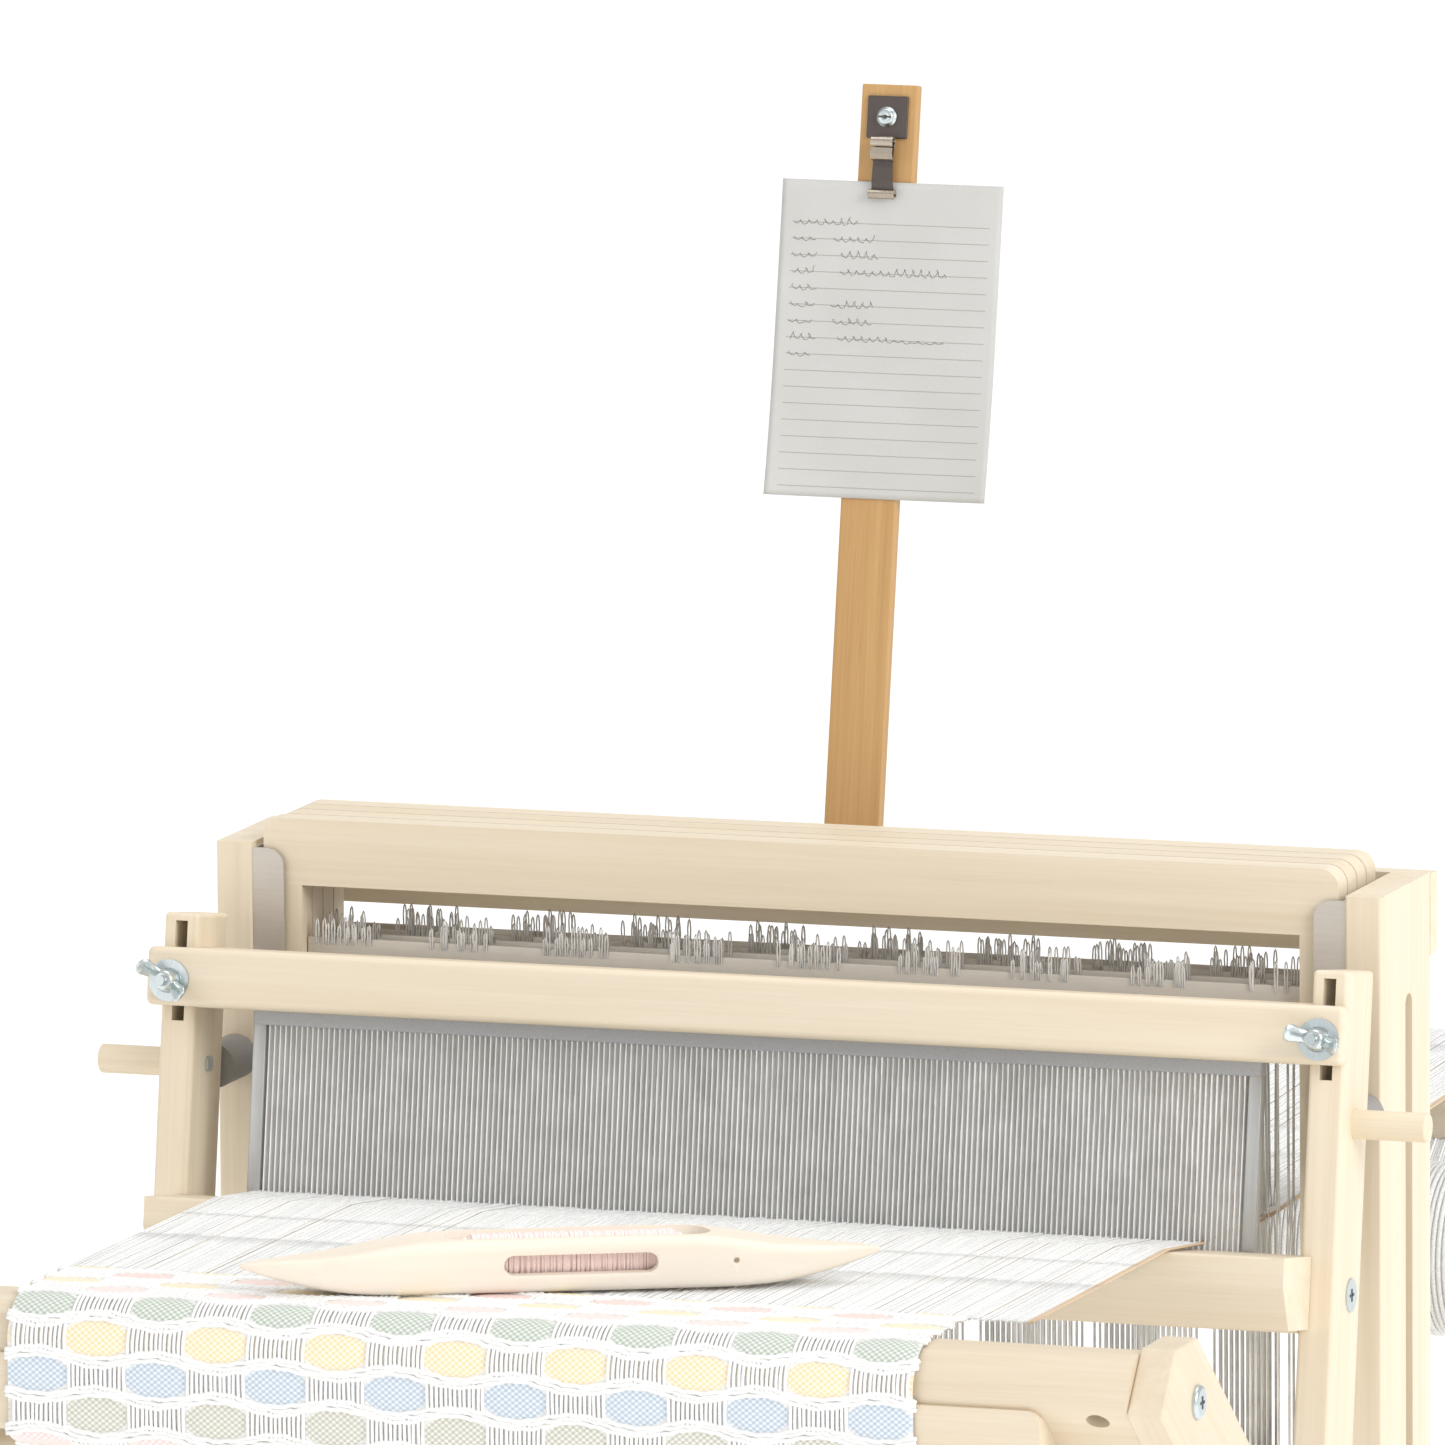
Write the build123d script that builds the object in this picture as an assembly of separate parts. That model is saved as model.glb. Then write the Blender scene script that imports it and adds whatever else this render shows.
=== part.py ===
from build123d import *
import math
import os

# A small four-shaft jack loom on a folding X frame. Millimetres, Z up. The origin is on the
# floor, midway between the outer faces and below the fold pivots. -Y is the weaver's side.

# ---- driving dimensions ----
CASTLE_TOP = 762.0                 # top of the castle posts
POST_IN, POST_OUT = 255.8, 272.4   # castle post faces across the loom
CASTLE_FRONT, CASTLE_REAR = -41.45, 32.95
SLOT_HALF = 5.05                   # half width of the slot that the fold pivot slides in
SLOT_TOP = 713.0

PIVOT_Z = 292.4                    # fold pivots, at Y 0
LEG_SLOPE = 38.9                   # slope of the leg boards, degrees
LEG_WIDTH, LEG_THICK = 52.0, 16.5
LEG_REACH = 522.1                  # from the pivot to the leg's square upper end
LEG_TOP = 626.0                    # the upper end is trimmed level here
FRONT_LEG_IN = 276.5
FRONT_LEG_OUT = FRONT_LEG_IN + LEG_THICK
REAR_LEG_IN = FRONT_LEG_OUT + 0.6
REAR_LEG_OUT = REAR_LEG_IN + LEG_THICK
PIVOT_R = 4.75
RUN = 0.05                         # radial running clearance

BEAM_Y, BEAM_TOP = 398.5, 623.5    # crest of the breast beam, and of the back beam behind
BEAM_DEPTH = 45.0
BEAM_ROUND = 19.0
BEAM_NOSE_Z = 600.0                # the breast beam's underside starts here, flush with the legs'
PAD_HALF, PAD_BOTTOM = 238.0, 566.0  # raised pad that the cloth runs down, on the beam's front
PAD_Y = -422.5
CLOTH_BEAM_T = 395.0               # cloth and warp beam axles, from the pivot along the leg
RATCHET_TEETH = 12

SHAFTS = (1, 2, 3, 4)
SHAFT_PITCH, SHAFT_THICK = 14.0, 13.0
SHAFT_Y1 = -30.45                  # middle of the first shaft
SHAFT_HALF, SHAFT_BOTTOM, SHAFT_TOP = 251.5, 437.0, 773.0
SHAFT_BAR, SHAFT_STILE = 30.0, 18.0

LAMM_PIVOT_X, LAMM_Z = -226.0, 117.0
LAMM_HEIGHT, LAMM_THICK = 24.0, 8.0
TREADLE_Y, TREADLE_Z = -165.0, 118.0
TREADLE_X = {1: -105.0, 2: -35.0, 3: 35.0, 4: 105.0}

LEAN = 8.9                         # how far the beater leans back at rest, degrees
BEATER_Y, BEATER_Z = -99.75, 739.0  # front top edge of the beater posts
BEATER_IN, BEATER_OUT = 259.4, 275.5
BEATER_DEPTH = 39.0
BEATER_LENGTH = 685.0              # from the top of a beater post down to its pivot
BOLT_X, BOLT_DROP = 267.3, 30.0    # the wing nuts' bolts, below the top of the beater posts
RACE_TOP = -125.3                  # height of the race in the beater's own frame
REED_HALF = 235.0
DENTS = 46

MAST_LEAN = 10.4
MAST_X, MAST_Y, MAST_Z = -3.0, 48.55, 768.0

CLOTH_X = (-229.5, 182.0)
CLOTH_THICK, CLOTH_GAP = 1.4, 0.3
WARP_X = (-232.0, 213.0)
FELL_Y = -350.0                    # front end of the open warp, where the cloth begins

SHUTTLE_X, SHUTTLE_Y, SHUTTLE_Z = -7.5, -335.0, 625.5
SHUTTLE_YAW = 25.6                 # its right end points away from the weaver
SHUTTLE_LENGTH, SHUTTLE_WIDTH, SHUTTLE_HEIGHT = 280.0, 36.0, 24.0
BOBBIN_Z = 13.5                    # the bobbin's axis above the shuttle's base


# ---- helpers ----
def box(x0, x1, y0, y1, z0, z1):
    """A box between two corners."""
    middle = Pos((x0 + x1) / 2, (y0 + y1) / 2, (z0 + z1) / 2)
    return middle * Box(abs(x1 - x0), abs(y1 - y0), abs(z1 - z0))


def prism(outline, x0, x1):
    """A prism along X whose outline is a list of (y, z) corners."""
    wire = Wire.make_polygon([Vector(x0, y, z) for y, z in outline], close=True)
    return Solid.extrude(Face(wire), Vector(x1 - x0, 0, 0))


def rod_x(radius, x0, x1, y, z):
    """A round bar along X."""
    return Pos((x0 + x1) / 2, y, z) * Rot(0, 90, 0) * Cylinder(radius, abs(x1 - x0))


def rod_y(radius, y0, y1, x, z):
    """A round bar along Y."""
    return Pos(x, (y0 + y1) / 2, z) * Rot(90, 0, 0) * Cylinder(radius, abs(y1 - y0))


def soften(shape, radius, axis=None):
    """Round a shape's edges, all of them or those along one axis."""
    edges = shape.edges() if axis is None else shape.edges().filter_by(axis)
    return fillet(edges, radius)


def mirrored(shape):
    """The shape on the other side of the loom."""
    return mirror(shape, about=Plane.YZ)


def both(shape):
    """A shape and its mirror image."""
    return [shape, mirrored(shape)]


def behind(shape):
    """The same shape on the other side of the fold pivots' plane."""
    return mirror(shape, about=Plane.XZ)


def on_leg(along, across=0.0):
    """The (y, z) of a point on the front leg's board, from the fold pivot."""
    slope = math.radians(LEG_SLOPE)
    y = -along * math.cos(slope) + across * math.sin(slope)
    z = PIVOT_Z + along * math.sin(slope) + across * math.cos(slope)
    return y, z


def in_beater(shape):
    """Move a shape from the beater's own frame to its place, leaning back.

    That frame's origin is the front top edge of the posts; y is the depth, z is up the posts.
    """
    return Pos(0, BEATER_Y, BEATER_Z) * Rot(-LEAN, 0, 0) * shape


def on_mast(shape):
    """Move a shape from the mast's own frame, with its front face at y 0, to its place."""
    return Pos(MAST_X, MAST_Y, MAST_Z) * Rot(-MAST_LEAN, 0, 0) * shape


def shaft_y(number):
    return SHAFT_Y1 + SHAFT_PITCH * (number - 1)


nodes = {}


def node(name, shapes):
    """Keep a sub-part's solids under its name."""
    parts = shapes if isinstance(shapes, list) else [shapes]
    nodes[name] = [solid for part in parts for solid in part.solids()]


# ---- castle ----
def castle_post():
    """Right post: a board with a long slot for the fold pivot and holes for the rods."""
    post = soften(box(POST_IN, POST_OUT, CASTLE_FRONT, CASTLE_REAR, 0, CASTLE_TOP), 1.2, Axis.Z)
    slot_low = PIVOT_Z
    slot = box(POST_IN - 1, POST_OUT + 1, -SLOT_HALF, SLOT_HALF, slot_low, SLOT_TOP - SLOT_HALF)
    ends = [
        rod_x(SLOT_HALF, POST_IN - 1, POST_OUT + 1, 0, z) for z in (slot_low, SLOT_TOP - SLOT_HALF)
    ]
    return post - slot - ends[0] - ends[1]


def castle_base():
    """Foot boards inside the posts, two cross rails and the lugs of the lamm rod."""
    outline = [(-235, 0), (95, 0), (95, 45), (40, 140), (-185, 140), (-235, 70)]
    foot = prism(outline, 239.4, POST_IN)
    foot -= rod_x(5.0, 230, 260, TREADLE_Y, TREADLE_Z)
    foot -= rod_x(4.0, 230, 260, *beater_pivot())
    front_rail = soften(
        box(-POST_OUT, POST_OUT, CASTLE_FRONT - 16, CASTLE_FRONT, 160, 210), 1.5, Axis.X
    )
    rear_rail = soften(box(-POST_IN, POST_IN, 18, CASTLE_REAR, 180, 230), 1.5, Axis.X)
    lugs = [
        box(-239.4, -214, y, y + 9, LAMM_Z - 17, LAMM_Z + 17)
        - rod_y(3.0, y - 1, y + 10, LAMM_PIVOT_X, LAMM_Z)
        for y in (-48, 20)
    ]
    return both(foot) + [front_rail, rear_rail] + lugs


def shaft_guide():
    """Right guide: a sheet-metal channel on the post's inner face that the shafts slide in."""
    sheet, low, high = 1.5, 437.3, CASTLE_TOP - 2.4
    front, rear = -40.2, 21.1
    web = box(POST_IN - sheet, POST_IN, front, rear, low, high)
    flange = box(241, POST_IN, front, front + sheet, low, high)
    flange = fillet(flange.edges().filter_by(Axis.Y).sort_by(Axis.X)[:2], 8)
    back = box(241, POST_IN, rear - sheet, rear, low, high)
    back = fillet(back.edges().filter_by(Axis.Y).sort_by(Axis.X)[:2], 8)
    return web + flange + back


def beater_pivot():
    """The (y, z) of the beater's hinge."""
    lean = math.radians(LEAN)
    y = BEATER_Y + BEATER_DEPTH / 2 * math.cos(lean) - BEATER_LENGTH * math.sin(lean)
    z = BEATER_Z - BEATER_DEPTH / 2 * math.sin(lean) - BEATER_LENGTH * math.cos(lean)
    return y, z


def pivot_rods():
    """The treadle rod, the lamm rod and the two bolts that the beater swings on."""
    y, z = beater_pivot()
    bolt = rod_x(4.0, 236, 276, y, z) + rod_x(8.0, 276, 280.5, y, z) + rod_x(7.0, 232, 239.4, y, z)
    return [
        rod_x(5.0, -POST_IN, POST_IN, TREADLE_Y, TREADLE_Z),
        rod_y(3.0, -52, 33, LAMM_PIVOT_X, LAMM_Z),
    ] + both(bolt)


def bumper():
    """Right rubber bumper between the castle post and the beater post."""
    return rod_y(10.0, CASTLE_FRONT - 28.6, CASTLE_FRONT, 264, CASTLE_TOP - 97)


def mast():
    """The pattern mast: a slat that leans back, and the wedge that tilts it off the rail."""
    slat = soften(on_mast(box(-13, 13, 0, 7, -22, 331.4)), 0.8)
    rail_rear = CASTLE_REAR + 10.3
    slope = math.tan(math.radians(MAST_LEAN))
    wedge_low, wedge_high = 746.0, CASTLE_TOP - 1
    top = MAST_Y - (MAST_Z - wedge_high) * slope
    low = MAST_Y - (MAST_Z - wedge_low) * slope
    outline = [(rail_rear, wedge_low), (low, wedge_low), (top, wedge_high), (rail_rear, wedge_high)]
    return [slat, prism(outline, MAST_X - 13, MAST_X + 13)]


def clip_plate():
    """The square plate bolted to the mast, its bolt head and the fixed jaw of the clip."""
    plate = soften(on_mast(box(-9.5, 9.5, -1.6, 0, 307.2, 326.2)), 0.4)
    head = on_mast(rod_y(5.5, -5.2, -1.6, 0, 316.7))
    return plate + head


def clip_jaw():
    """The sprung jaw that holds the sheet: a pressed strip on a pin across its width."""
    strip = on_mast(box(-6, 6, -4.0, -2.8, 280.5, 306.0))
    grip = on_mast(box(-6, 6, -2.8, -1.3, 280.5, 282.5))
    lever = on_mast(box(-6, 6, -9.0, -7.8, 289, 303.5))
    curl = on_mast(Pos(0, -6.4, 305.2) * Rot(0, 90, 0) * (Cylinder(2.6, 12) - Cylinder(1.25, 12)))
    return strip + grip + lever + curl


def pattern_sheet():
    """The ruled sheet hanging from the clip."""
    return on_mast(box(-47.7, 56.3, -1.0, -0.4, 145.7, 287.6))


# ---- folding frames ----
def leg_level(height, across):
    """The (y, z) where a line of the front leg, across from its middle, meets a height."""
    slope = math.radians(LEG_SLOPE)
    along = (height - PIVOT_Z - across * math.cos(slope)) / math.sin(slope)
    return on_leg(along, across)


def leg(x_in, axle_hole):
    """Right front leg: a board from the rear floor up to the breast beam."""
    half = LEG_WIDTH / 2
    slope = math.radians(LEG_SLOPE)
    corner = (LEG_TOP - PIVOT_Z - LEG_REACH * math.sin(slope)) / math.cos(slope)
    outline = [
        leg_level(0, -half),
        leg_level(0, half),
        leg_level(LEG_TOP, half),
        on_leg(LEG_REACH, corner),
        on_leg(LEG_REACH, -half),
    ]
    x_out = x_in + LEG_THICK
    board = soften(prism(outline, x_in, x_out), 1.5)
    board -= rod_x(PIVOT_R + RUN, x_in - 1, x_out + 1, 0, PIVOT_Z)
    return board - rod_x(axle_hole, x_in - 1, x_out + 1, *on_leg(CLOTH_BEAM_T))


def breast_beam():
    """The beam that the cloth turns over, with a raised pad below it and two peg holes."""
    front, rear = -BEAM_Y - BEAM_DEPTH / 2, -BEAM_Y + BEAM_DEPTH / 2
    tail = BEAM_NOSE_Z - BEAM_DEPTH * math.tan(math.radians(LEG_SLOPE))
    outline = [(front, BEAM_TOP), (rear, BEAM_TOP), (rear, tail), (front, BEAM_NOSE_Z)]
    beam = prism(outline, -FRONT_LEG_IN, FRONT_LEG_IN)
    beam = fillet(beam.edges().filter_by(Axis.X).sort_by(Axis.Z)[-2:], BEAM_ROUND)
    nose = [e for e in beam.edges().filter_by(Axis.X) if abs(e.center().Z - BEAM_NOSE_Z) < 0.1]
    beam = fillet(nose, 8)
    pad = box(-PAD_HALF, PAD_HALF, PAD_Y, rear - 16, PAD_BOTTOM, BEAM_NOSE_Z)
    pad = fillet(pad.edges().filter_by(Axis.Y).sort_by(Axis.Z)[-2:], 6)
    pad = fillet(pad.edges().filter_by(Axis.X).sort_by(Axis.Z)[0:2], 3)
    hole = Pos(262, front + 5.1, BEAM_NOSE_Z - 4.1) * Rot(-LEG_SLOPE, 0, 0) * Cylinder(5.2, 30)
    return beam + pad - hole - mirrored(hole)


def back_beam():
    """The beam behind the castle that the warp turns over."""
    beam = box(-REAR_LEG_IN, REAR_LEG_IN, BEAM_Y - 20, BEAM_Y + 20, 577.5, BEAM_TOP)
    beam = fillet(beam.edges().filter_by(Axis.X).sort_by(Axis.Z)[-2:], 15)
    return fillet(beam.edges().filter_by(Axis.X).sort_by(Axis.Z)[:2], 4)


def leg_rail(along, x_in):
    """A cross rail between two legs, its face along the boards."""
    half, thick = 25.0, 8.0
    corners = [(half, thick), (-half, thick), (-half, -thick), (half, -thick)]
    outline = [on_leg(along + a, b) for a, b in corners]
    return soften(prism(outline, -x_in, x_in), 2, Axis.X)


def leg_bolts(x_out, places):
    """Domed bolt heads on both legs' outer faces."""
    heads = []
    for along, across in places:
        y, z = on_leg(along, across)
        head = rod_x(7.5, x_out, x_out + 2.6, y, z)
        head = fillet(head.edges().sort_by(Axis.X)[-1], 1.8)
        heads += both(head)
    return heads


def fold_pivots():
    """The two bolts that the legs cross on, with their spacers, washers and nuts."""
    spacer = rod_x(14, POST_OUT + 0.3, FRONT_LEG_IN - 0.3, 0, PIVOT_Z)
    shank = rod_x(PIVOT_R, 250, REAR_LEG_OUT + 1, 0, PIVOT_Z)
    head = rod_x(10, REAR_LEG_OUT + 0.3, REAR_LEG_OUT + 1.8, 0, PIVOT_Z)
    dome = rod_x(8, REAR_LEG_OUT + 1.8, REAR_LEG_OUT + 4.8, 0, PIVOT_Z)
    dome = fillet(dome.edges().sort_by(Axis.X)[-1], 2.4)
    nut = rod_x(9.5, 250, POST_IN - 0.3, 0, PIVOT_Z)
    return both(spacer + shank + head + dome + nut)


# ---- cloth and warp beams ----
def take_up_beam(x_half, leg_half, radius):
    """A round beam with an axle end in each leg, on the front legs' boards."""
    y, z = on_leg(CLOTH_BEAM_T)
    return rod_x(radius, -x_half, x_half, y, z) + rod_x(6.0, -leg_half, leg_half, y, z)


def ratchet(x0, x1):
    """A toothed disc beside the beam."""
    y, z = on_leg(CLOTH_BEAM_T)
    root, tip = 22.0, 26.0
    pitch = 2 * math.pi / RATCHET_TEETH
    outline = []
    for tooth in range(RATCHET_TEETH):
        for share, radius in ((-0.22, tip), (0.22, tip), (0.28, root), (0.72, root)):
            angle = (tooth + share) * pitch
            outline.append((y + radius * math.sin(angle), z + radius * math.cos(angle)))
    return prism(outline, x0, x1) - rod_x(6.0, x0 - 1, x1 + 1, y, z)


def pawl_place(offset, height):
    """A (y, z) beside the gap after the top tooth; height is away from the beam's axle."""
    y, z = on_leg(CLOTH_BEAM_T)
    angle = math.pi / RATCHET_TEETH
    return (
        y + height * math.sin(angle) + offset * math.cos(angle),
        z + height * math.cos(angle) - offset * math.sin(angle),
    )


def pawl(x0, x1, leg_in):
    """A pawl whose nib drops into a gap of the ratchet, on a pin in the leg."""
    arm = prism([pawl_place(o, h) for o, h in ((-3, 33), (29, 33), (29, 28), (-3, 28))], x0, x1)
    corners = ((-1.5, 28.5), (1.5, 28.5), (1.5, 22.6), (-1.5, 22.6))
    nib = prism([pawl_place(o, h) for o, h in corners], x0, x1)
    hub = rod_x(5.0, x0, x1, *pawl_place(24, 30.5))
    pin = rod_x(2.5, x1, leg_in - 0.2, *pawl_place(24, 30.5))
    return arm + nib + hub + pin


# ---- beater ----
def beater_post():
    """Right beater post with the slot that the top bar's bolt slides in."""
    post = box(BEATER_IN, BEATER_OUT, 0, BEATER_DEPTH, -BEATER_LENGTH - 19, 0)
    post = soften(post, 2.0)
    post -= box(BOLT_X - 2.85, BOLT_X + 2.85, -1, BEATER_DEPTH + 1, -48, -3.5)
    post -= rod_x(4.0 + RUN, 250, 290, BEATER_DEPTH / 2, -BEATER_LENGTH)
    return in_beater(post)


def top_bar():
    """The bar over the reed and the grooved rail behind it that holds the reed's top."""
    bar = soften(box(-278.5, 278.5, -12.8, -0.3, -41.2, -15.2), 3.0)
    for x in (-BOLT_X, BOLT_X):
        bar -= rod_y(2.7, -20, 5, x, -BOLT_DROP)
    cap = box(-258.9, 258.9, -0.3, 26, -41.7, -15.2)
    cap -= box(-REED_HALF - 1, REED_HALF + 1, 8.6, 18.4, -42, -33.5)
    return [in_beater(bar), in_beater(cap)]


def top_bar_bolts():
    """Two carriage bolts through the post slots, with their front washers and rear heads."""
    bolts = []
    for x in (-BOLT_X, BOLT_X):
        shank = rod_y(2.5, -27, BEATER_DEPTH + 2, x, -BOLT_DROP)
        washer = rod_y(9.3, -14.3, -12.8, x, -BOLT_DROP)
        head = rod_y(6.0, BEATER_DEPTH + 0.3, BEATER_DEPTH + 3.3, x, -BOLT_DROP)
        bolts.append(in_beater(shank + washer + head))
    return bolts


def wing_nut(x, turn):
    """A wing nut: a conical hub with two wings standing out in front of it."""
    hub = Pos(0, -4.2, 0) * Rot(90, 0, 0) * Cone(5.6, 4.6, 7.6)
    wings = [
        Pos(side * 8.4, -6.4, 0) * Rot(0, 0, -24 * side) * Box(9.4, 2.4, 8.4) for side in (-1, 1)
    ]
    nut = hub + wings[0] + wings[1] - rod_y(2.55, -20, 20, 0, 0)
    return in_beater(Pos(x, -14.5, -BOLT_DROP) * Rot(0, turn, 0) * nut)


def race():
    """The shuttle race: a ledge in front of the reed with a bevelled underside."""
    outline = [
        (-40.7, RACE_TOP),
        (8.0, RACE_TOP),
        (8.0, RACE_TOP - 13),
        (-0.4, RACE_TOP - 13),
        (-0.4, RACE_TOP - 32),
        (-29.7, RACE_TOP - 32),
        (-40.7, RACE_TOP - 13),
    ]
    ledge = prism(outline, -259.0, 259.0)
    ledge = fillet(ledge.edges().filter_by(Axis.X).sort_by(Axis.Y)[0], 1.5)
    nose = [
        (-40.7, RACE_TOP),
        (-0.4, RACE_TOP),
        (-0.4, RACE_TOP - 32),
        (-29.7, RACE_TOP - 32),
        (-40.7, RACE_TOP - 13),
    ]
    ends = [prism(nose, *sorted((side * 259.0, side * 264.5))) for side in (-1, 1)]
    return in_beater(ledge + ends[0] + ends[1])


def beater_rail():
    """The rail between the beater posts that carries the race and holds the reed's foot."""
    rail = box(-BEATER_IN, BEATER_IN, 0, BEATER_DEPTH - 4, RACE_TOP - 34, RACE_TOP - 13.2)
    rail = soften(rail, 2.0, Axis.X)
    rail -= box(-REED_HALF - 1, REED_HALF + 1, 8.6, 18.4, -141, RACE_TOP)
    return in_beater(rail)


def reed():
    """The reed: two caps, two end bars and the dents between them."""
    top = box(-REED_HALF, REED_HALF, 9, 18, -48.2, -34.2)
    foot = box(-REED_HALF, REED_HALF, 9, 18, -140, -127)
    comb = top + foot
    comb += box(-REED_HALF, -REED_HALF + 6, 10.3, 16.7, -127.5, -47.5)
    comb += box(REED_HALF - 6, REED_HALF, 10.3, 16.7, -127.5, -47.5)
    step = 2 * (REED_HALF - 6) / DENTS
    dents = [
        box(x - 0.4, x + 0.4, 10.3, 16.7, -127.5, -47.5)
        for x in (-REED_HALF + 6 + step * (i + 0.5) for i in range(DENTS))
    ]
    return in_beater(comb.fuse(*dents))


def beater_peg():
    """Right peg through the beater post, and the post's low bolt heads."""
    peg = rod_x(6.5, BEATER_OUT, 309.5, BEATER_DEPTH / 2, -67)
    return in_beater(fillet(peg.edges().sort_by(Axis.X)[-1], 1.0))


def beater_screw():
    """Right fixings: the low bolt head on the post and the peg's screw head inside."""
    head = rod_x(7.5, BEATER_OUT, BEATER_OUT + 0.7, 24.5, -142)
    screw = rod_x(3.5, BEATER_IN - 1.6, BEATER_IN, BEATER_DEPTH / 2, -67)
    return [in_beater(head), in_beater(screw)]


# ---- shafts, lamms and treadles ----
def shaft_frame(number):
    """A shaft's wooden frame and the push stick that its lamm lifts."""
    y0, y1 = shaft_y(number) - SHAFT_THICK / 2, shaft_y(number) + SHAFT_THICK / 2
    inner = SHAFT_HALF - SHAFT_STILE
    top = box(-SHAFT_HALF, SHAFT_HALF, y0, y1, SHAFT_TOP - SHAFT_BAR, SHAFT_TOP)
    top = fillet(top.edges().filter_by(Axis.Y).sort_by(Axis.Z)[-2:], 8.5)
    low = box(-SHAFT_HALF, SHAFT_HALF, y0, y1, SHAFT_BOTTOM, SHAFT_BOTTOM + SHAFT_BAR)
    low = fillet(low.edges().filter_by(Axis.Y).sort_by(Axis.Z)[:2], 8.5)
    span = (SHAFT_BOTTOM + SHAFT_BAR, SHAFT_TOP - SHAFT_BAR)
    stiles = both(box(inner, SHAFT_HALF, y0, y1, *span))
    stick = box(-5, 5, y0 + 2.5, y1 - 2.5, LAMM_Z + LAMM_HEIGHT / 2 + 1.6, SHAFT_BOTTOM)
    return [top, low, stick] + stiles


def heddles(number):
    """A shaft's two heddle bars and its wire heddles."""
    y = shaft_y(number)
    inner = SHAFT_HALF - SHAFT_STILE
    bars = box(-inner, inner, y - 0.8, y + 0.8, 700, 719)
    bars += box(-inner, inner, y - 0.8, y + 0.8, 478, 497)
    spacing = 2 * inner / 15
    wires = [
        box(x - 0.5, x + 0.5, y - 1.6, y + 1.6, 470, 728)
        for x in (-inner + spacing * (i + 0.3 + 0.1 * number) for i in range(14))
    ]
    return bars.fuse(*wires)


def lamm(number):
    """The bar below a shaft that lifts its push stick, hinged at its left end."""
    y = shaft_y(number)
    bar = box(
        -238, 132, y - LAMM_THICK / 2, y + LAMM_THICK / 2,
        LAMM_Z - LAMM_HEIGHT / 2, LAMM_Z + LAMM_HEIGHT / 2,
    )
    bar = soften(bar, 3, Axis.Y)
    return bar - rod_y(3.0 + RUN, y - 10, y + 10, LAMM_PIVOT_X, LAMM_Z)


def treadle(number):
    """A rocking treadle: a pedal in front of its rod and a finger under its lamm behind."""
    x0, x1 = TREADLE_X[number] - 12, TREADLE_X[number] + 12
    y = shaft_y(number)
    pedal = [(-165, 128), (-165, 108), (-363, 72), (-368, 79), (-363, 87)]
    arm = [(-165, 128), (-165, 106), (-84, 40), (y + 4, 40), (y + 4, 54), (-76, 54)]
    finger = box(x0 + 3, x1 - 3, y - 4, y + 2.4, 50, LAMM_Z - LAMM_HEIGHT / 2 - 5.6)
    tip = rod_x(4, x0 + 3, x1 - 3, y, LAMM_Z - LAMM_HEIGHT / 2 - 5.6)
    hub = rod_x(13, x0, x1, TREADLE_Y, TREADLE_Z)
    body = prism(pedal, x0, x1) + prism(arm, x0, x1) + hub + finger + tip
    return body - rod_x(5.0 + RUN, x0 - 1, x1 + 1, TREADLE_Y, TREADLE_Z)


# ---- cloth, warp and shuttle ----
def cloth_line(offset):
    """(y, z) points along the cloth's path, at an offset out from the beam's side of it."""
    front = PAD_Y - CLOTH_GAP - offset
    top = BEAM_TOP + CLOTH_GAP + offset
    middle_y, middle_z = -BEAM_Y - BEAM_DEPTH / 2 + BEAM_ROUND, BEAM_TOP - BEAM_ROUND
    line = [(FELL_Y, top), (middle_y, top)]
    for step in range(1, 7):
        angle = math.radians(15 * step)
        y = middle_y - (middle_y - front) * math.sin(angle)
        z = middle_z + (top - middle_z) * math.cos(angle)
        line.append((y, z))
    turn = math.radians(22.5)
    line.append((front, PAD_BOTTOM + 2.5))
    line.append((PAD_Y + 1.2 - offset * math.sin(turn), PAD_BOTTOM - 0.6 - offset * math.cos(turn)))
    line.append((-319.0 - offset * math.sin(turn), 523.0 - offset * math.cos(turn)))
    return line


def woven_cloth():
    """The cloth: flat behind the crest, over the breast beam and back to the cloth beam."""
    return prism(cloth_line(0) + cloth_line(CLOTH_THICK)[::-1], *CLOTH_X)


def warp_front():
    """The warp from the shafts to the fell, left open where it passes through the reed."""
    thick = 1.0
    ahead = [(FELL_Y + 0.2, 624.4), (-161.5, 624.4), (-112, 617.2)]
    after = [(-94.5, 614.6), (-40.8, 611.6)]
    pieces = []
    for line in (ahead, after):
        below = [(y, z - thick) for y, z in reversed(line)]
        pieces.append(prism(line + below, *WARP_X))
    return pieces


def warp_back():
    """The warp from the shafts over the back beam and down towards the warp beam."""
    top = BEAM_TOP + CLOTH_GAP
    bend, thick = 15.3, 1.0
    inner = [(21.6, 612), (BEAM_Y - 7, top)]
    outer = [(21.6, 612 + thick), (BEAM_Y - 7, top + thick)]
    for step in range(6):
        angle = math.radians(-5 + 19 * step)
        for line, radius in ((inner, bend), (outer, bend + thick)):
            y = BEAM_Y + 5 + radius * math.sin(angle)
            line.append((y, top - bend + radius * math.cos(angle)))
    inner.append((BEAM_Y + 5 + bend, 600))
    outer.append((BEAM_Y + 5 + bend + thick, 600))
    return prism(inner + outer[::-1], *WARP_X)


def in_shuttle(shape):
    """Move a shape from the shuttle's own frame, centred on its base, to its place."""
    return Pos(SHUTTLE_X, SHUTTLE_Y, SHUTTLE_Z) * Rot(0, 0, SHUTTLE_YAW) * shape


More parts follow.
